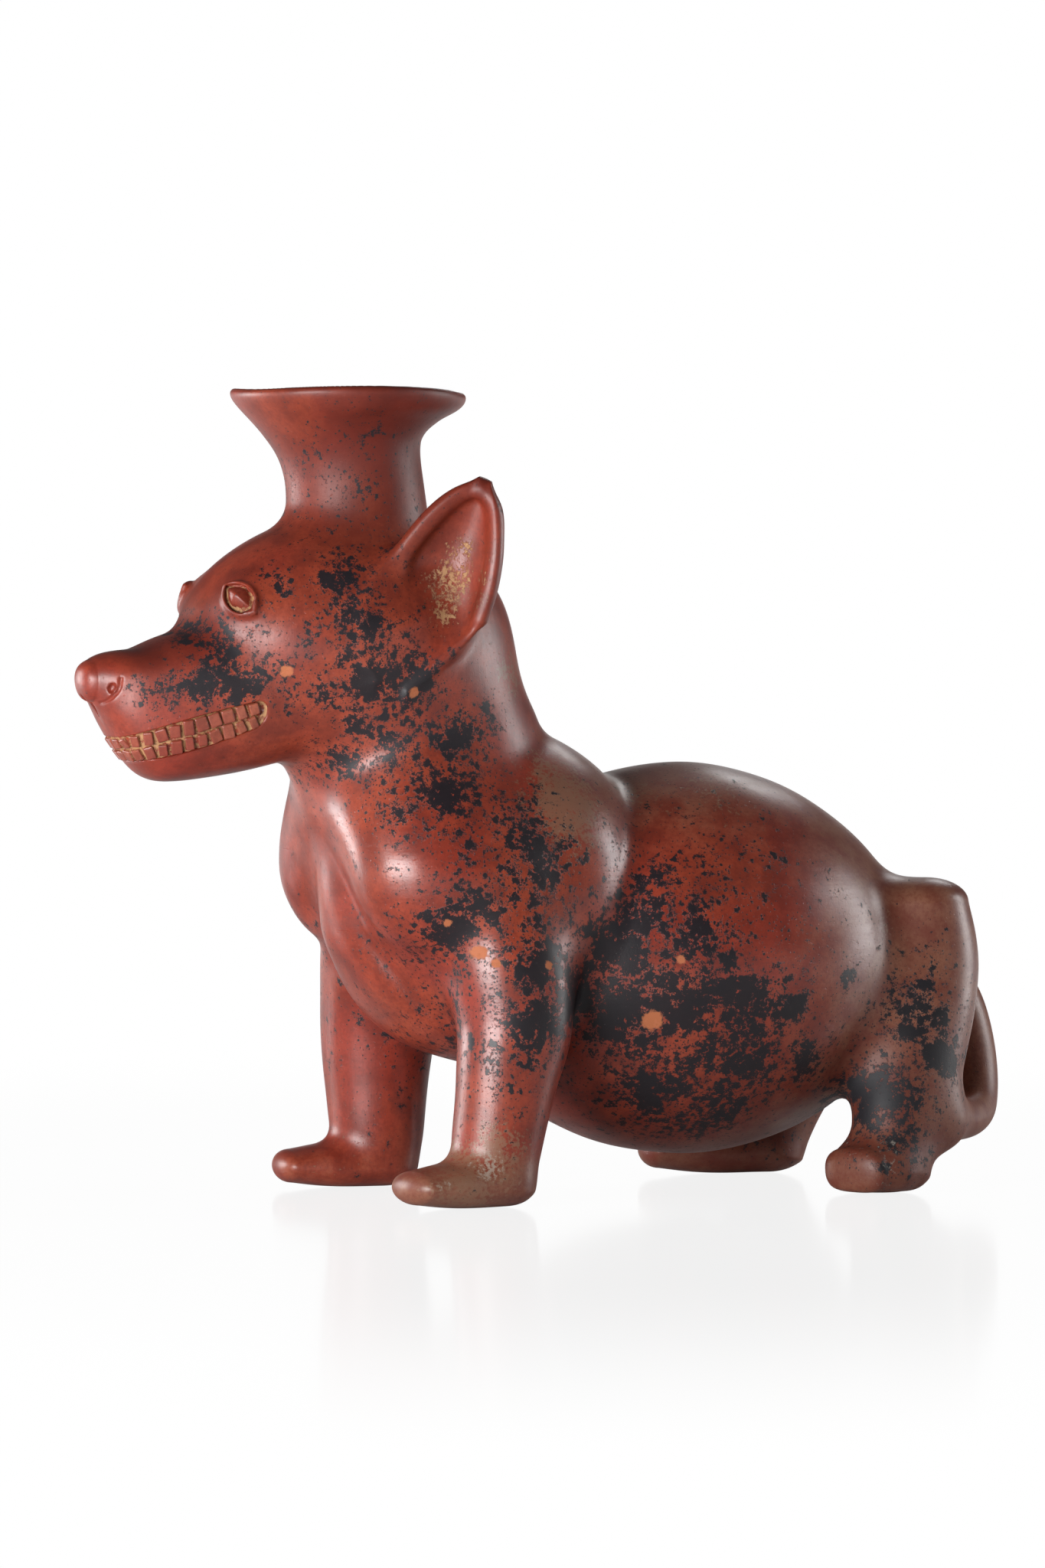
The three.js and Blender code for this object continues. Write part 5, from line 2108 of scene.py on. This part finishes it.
@dataclass(frozen=True)
class SlipFinish:
    """A burnished slip with what has grown and settled on it, and painted shade on the tops of the head and
    spout.

    Shares say how strongly a layer covers what lies under it. The relief's depth is in millimetres.
    """

    name: str
    base: Colour
    deep: Colour
    warm: Colour
    brown: Colour = shade(134, 86, 66)
    # Colour of the painted shade on the head's tops and spout, and of the dark patches low on the body
    smoked: Colour = shade(80, 28, 20)
    worn: Colour = shade(134, 98, 76)
    bloom: Colour = shade(25, 28, 33)
    crust: Colour = shade(176, 134, 92)
    dust: Colour = shade(170, 160, 148)
    spall: Colour = shade(188, 110, 70)
    cloud_share: float = 0.7
    fine_share: float = 0.4
    fine_range: Pair = (0.42, 0.68)
    brown_range: Pair = (-0.1, 0.8)
    brown_cloud: float = 0.35
    smoke_share: float = 0.85
    worn_share: float = 0.75
    bloom_share: float = 0.97
    spall_share: float = 0.85
    spall_ragged: float = 0.8
    spall_range: Pair = (0.3, 0.6)
    dust_share: float = 0.5
    crust_share: float = 0.85
    roughness: float = 0.31
    polish_range: float = 0.22
    bloom_rough: float = 0.08
    brown_rough: float = 0.05
    upright_rough: float = 0.07
    smoke_rough: float = 0.2
    dust_matt: float = 0.7
    matt: float = 0.75
    gloss: float = 0.58
    bloom_dull: float = 0.6
    dulling: float = 0.55
    bloom_relief: float = 0.25
    crust_relief: float = 1.4
    relief: float = 0.5
    relief_depth: float = 0.25

    def build(self, effects: Effects) -> bpy.types.Material:
        """The material, made of the shared effects."""
        material = bpy.data.materials.new(self.name)
        material.use_nodes = True
        g = Graph(material.node_tree)
        shader = material.node_tree.nodes["Principled BSDF"].inputs
        coordinates = g.add("ShaderNodeTexCoord", {}).outputs["Object"]
        place = g.one("ShaderNodeVectorMath", {0: coordinates, "Scale": 1 / MM}, operation="SCALE")

        def effect(tree: Tree, **inputs: Plug) -> Any:
            """What comes out of a shared group in this material."""
            return g.add("ShaderNodeGroup", {"Place": place, **inputs}, node_tree=tree).outputs

        mottle = effect(effects.mottle)
        bloom = effect(effects.blooms, Density=g.attribute(Paint.BLOOM))["Mask"]
        strokes = effect(effects.burnish, Upright=g.attribute(Paint.UPRIGHT))
        worn, crust, dust = (
            effect(effects.cover, Amount=g.attribute(kind))["Mask"]
            for kind in (Paint.WEAR, Paint.DEPOSIT, Paint.DUST)
        )
        ragged = g.math("MULTIPLY_ADD", mottle["Fine"], self.spall_ragged, -self.spall_ragged / 2)
        spall = g.ramp(g.math("ADD", g.attribute(Paint.SPALL), ragged), *self.spall_range)
        # Painted shade on the tops of the head and spout, with the dark patches low on the body
        smoke = g.math("MULTIPLY", g.attribute(Paint.SMOKE), self.smoke_share)
        brown = g.math("MULTIPLY_ADD", mottle["Cloud"], -self.brown_cloud, g.attribute(Paint.BROWN))
        layers = (
            (mottle["Slow"], 1.0, self.warm),
            (g.ramp(brown, *self.brown_range), 1.0, self.brown),
            (mottle["Cloud"], self.cloud_share, self.deep),
            (smoke, 1.0, self.smoked),
            (g.ramp(mottle["Fine"], *self.fine_range), self.fine_share, self.deep),
            (worn, self.worn_share, self.worn),
            (bloom, self.bloom_share, self.bloom),
            (spall, self.spall_share, self.spall),
            (dust, self.dust_share, self.dust),
            (crust, self.crust_share, self.crust),
        )
        colour: Any = self.base
        for mask, share, over in layers:
            colour = g.mix(g.math("MULTIPLY", mask, share), colour, over)
        g.link(colour, shader["Base Color"])
        smoothest = self.roughness - self.polish_range / 2
        rough = g.math("MULTIPLY_ADD", strokes["Polish"], self.polish_range, smoothest)
        rougher = (
            (bloom, self.bloom_rough),
            (g.attribute(Paint.BROWN), self.brown_rough),
            (g.attribute(Paint.UPRIGHT), self.upright_rough),
            (smoke, self.smoke_rough),
        )
        for mask, more in rougher:
            rough = g.math("MULTIPLY_ADD", mask, more, rough)
        matt = g.math("MAXIMUM", g.math("MAXIMUM", crust, spall), g.math("MULTIPLY", dust, self.dust_matt))
        g.link(g.lerp(matt, rough, self.matt), shader["Roughness"])
        raised = g.math("MULTIPLY_ADD", bloom, self.bloom_relief, strokes["Height"])
        raised = g.math("MULTIPLY_ADD", crust, self.crust_relief, raised)
        inputs = {"Height": raised, "Strength": self.relief, "Distance": self.relief_depth * MM}
        g.link(g.one("ShaderNodeBump", inputs), shader["Normal"])
        dull = g.math("MAXIMUM", smoke, g.math("MULTIPLY", bloom, self.bloom_dull))
        sheen = g.math("MULTIPLY_ADD", dull, -self.dulling * self.gloss, self.gloss)
        g.link(sheen, shader["Specular IOR Level"])
        return material


RED = SlipFinish("red_slip", shade(144, 50, 34), shade(98, 32, 22), shade(154, 64, 40))
BROWN = SlipFinish("brown_slip", RED.base, RED.deep, RED.warm)
TOOTH = SlipFinish("scored_clay", shade(142, 60, 46), shade(104, 42, 32), shade(160, 86, 64))
FINISHES = {"red_slip": RED, "brown_slip": BROWN, "buff_clay": TOOTH}


# The studio


@dataclass(frozen=True)
class Softbox:
    """A soft lamp, placed by metres to the right of, above and towards the camera from the vessel."""

    name: str
    place: Point
    size: Pair
    power: float


@dataclass(frozen=True)
class Studio:
    """Floor, lights and camera, in metres. The frame is the photograph's, in pixels.

    The room is white to the camera. The vessel mirrors that white only right behind it and far off.
    """

    frame: Pair = (1365.0, 2048.0)
    middle: Pair = (700.0, 1040.0)
    azimuth: float = -25.0
    distance: float = 3.0
    target: Point = (0.0, 0.0, 0.152)
    camera_height: float = 0.240
    pixels_per_metre: float = 3410.0
    sensor: float = 36.0
    furthest_seen: float = 200.0
    surroundings: float = 0.09
    backdrop: Pair = (0.93, 0.99)
    floor_size: float = 60.0
    floor_fade: Pair = (0.35, 0.9)
    floor_shade: float = 0.9
    floor_white: float = 0.97
    floor_gloss: float = 0.12
    floor_roughness: float = 0.12
    lamps: tuple[Softbox, ...] = (
        Softbox("key", (-0.72, 0.03, 0.95), (0.7, 0.34), 16.5),
        Softbox("right", (1.5, 0.15, -0.4), (0.5, 1.2), 16.0),
        Softbox("left", (-1.4, 0.0, -0.6), (0.5, 0.7), 14.0),
        Softbox("back", (0.5, 1.0, -1.5), (0.5, 0.25), 3.0),
    )

    def axes(self) -> tuple[Vector, Vector, Vector]:
        """Right, up and towards the camera, on the level."""
        turn = math.radians(self.azimuth)
        back = Vector((math.sin(turn), -math.cos(turn), 0))
        return Vector((-back.y, back.x, 0)), Vector((0, 0, 1)), back

    def camera(self) -> None:
        """Set the camera at the photograph's angle."""
        data = bpy.data.cameras.new("camera")
        long_side = max(self.frame)
        data.sensor_width = self.sensor
        data.lens = self.sensor * self.pixels_per_metre * self.distance / long_side
        data.shift_x = (self.frame[0] / 2 - self.middle[0]) / long_side
        data.shift_y = (self.middle[1] - self.frame[1] / 2) / long_side
        data.clip_end = self.furthest_seen
        rise = math.asin((self.camera_height - self.target[2]) / self.distance)
        back = self.axes()[2] * math.cos(rise) + Vector((0, 0, math.sin(rise)))
        camera = placed("camera", data)
        camera.location = Vector(self.target) + back * self.distance
        camera.rotation_mode = "QUATERNION"
        camera.rotation_quaternion = (-back).to_track_quat("-Z", "Y")
        bpy.context.scene.camera = camera

    def lights(self) -> None:
        """Hang the soft lamps, and give the room its plain light."""
        for lamp in self.lamps:
            data = bpy.data.lights.new(lamp.name, "AREA")
            data.shape = "RECTANGLE"
            data.size, data.size_y = lamp.size
            data.energy = lamp.power
            obj = placed(lamp.name, data)
            offset = sum((axis * part for axis, part in zip(self.axes(), lamp.place)), Vector())
            obj.location = Vector(self.target) + offset
            obj.rotation_mode = "QUATERNION"
            obj.rotation_quaternion = offset.to_track_quat("Z", "Y")
        world = bpy.data.worlds.new("room")
        world.use_nodes = True
        g = Graph(world.node_tree)
        path = g.add("ShaderNodeLightPath", {}).outputs
        seen = g.math("MAXIMUM", path["Is Camera Ray"], path["Is Transmission Ray"])
        way = g.add("ShaderNodeTexCoord", {}).outputs["Generated"]
        away = g.add("ShaderNodeVectorMath", {0: way, 1: tuple(-self.axes()[2])}, operation="DOT_PRODUCT")
        backdrop = g.ramp(away.outputs["Value"], *self.backdrop)
        seen = g.math("MAXIMUM", seen, g.math("MULTIPLY", path["Is Glossy Ray"], backdrop))
        strength = g.lerp(seen, self.surroundings, 1.0)
        background = world.node_tree.nodes["Background"].inputs
        background["Color"].default_value = (1, 1, 1, 1)
        g.link(strength, background["Strength"])
        bpy.context.scene.world = world

    def floor(self) -> None:
        """Lay the pale floor, which keeps the vessel's shadow and a faint reflection."""
        half = self.floor_size / 2
        mesh = bpy.data.meshes.new("floor")
        corners = [(-half, -half, 0), (half, -half, 0), (half, half, 0), (-half, half, 0)]
        mesh.from_pydata(corners, [], [(0, 1, 2, 3)])
        obj = placed("floor", mesh)
        material = bpy.data.materials.new("pale_floor")
        material.use_nodes = True
        tree = material.node_tree
        g = Graph(tree)
        tree.nodes.remove(tree.nodes["Principled BSDF"])
        path = g.add("ShaderNodeLightPath", {}).outputs
        place = g.add("ShaderNodeTexCoord", {}).outputs["Object"]
        away = g.add("ShaderNodeVectorMath", {0: place}, operation="LENGTH").outputs["Value"]
        far = g.ramp(away, *self.floor_fade)
        pale = (self.floor_shade,) * 3 + (1,)
        diffuse = g.one("ShaderNodeBsdfDiffuse", {"Color": pale})
        white = g.one("ShaderNodeEmission", {"Color": (1, 1, 1, 1), "Strength": 1.0})
        seen = g.math("MULTIPLY", path["Is Camera Ray"], g.lerp(far, self.floor_white, 1.0))
        mirrored_too = g.math("MAXIMUM", path["Is Glossy Ray"], path["Is Transmission Ray"])
        seen = g.math("MAXIMUM", seen, g.math("MULTIPLY", mirrored_too, far))
        plain = g.one("ShaderNodeMixShader", {0: seen, 1: diffuse, 2: white})
        gloss = g.one("ShaderNodeBsdfGlossy", {"Color": (1, 1, 1, 1), "Roughness": self.floor_roughness})
        final = g.one("ShaderNodeMixShader", {0: g.lerp(far, self.floor_gloss, 0.0), 1: plain, 2: gloss})
        g.link(final, tree.nodes["Material Output"].inputs["Surface"])
        mesh.materials.append(material)


def main() -> None:
    """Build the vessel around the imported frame."""
    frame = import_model()
    logging.basicConfig(level=logging.INFO, format="%(message)s")
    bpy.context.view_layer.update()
    bpy.context.scene.view_settings.view_transform = "Standard"
    studio = Studio()
    studio.camera()
    studio.lights()
    studio.floor()
    vessel = Vessel()
    effects = Effects()
    materials = {name: finish.build(effects) for name, finish in FINISHES.items()}
    slots = {row["node"]: row["material_slot"] for row in frame["record"]["subparts"]}
    blocks = node_blocks(vessel)
    meshers = [PieceMesher(vessel, grain, blocks[grain.node]) for grain in GRAINS]
    with ThreadPoolExecutor() as pool:
        meshes = list(pool.map(PieceMesher.build, meshers))
    for grain, (vertices, quads, normals) in zip(GRAINS, meshes):
        piece = mesh_object(f"{grain.node}_clay", vertices, quads, normals)
        paint(piece, vertices, vessel)
        piece.data.materials.append(materials[slots[grain.node]])
        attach(piece, BODY)
        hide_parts(grain.node)
        LOG.info("%s: %d quads", grain.node, len(quads))
    for row in TOOTH_ROWS:
        piece = row.build(vessel.head, vessel.body, materials[slots[row.node]])
        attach(piece, BODY)
        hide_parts(row.node)
        LOG.info("%s: %d faces", row.node, len(piece.data.polygons))


if __name__ == "__main__":
    main()
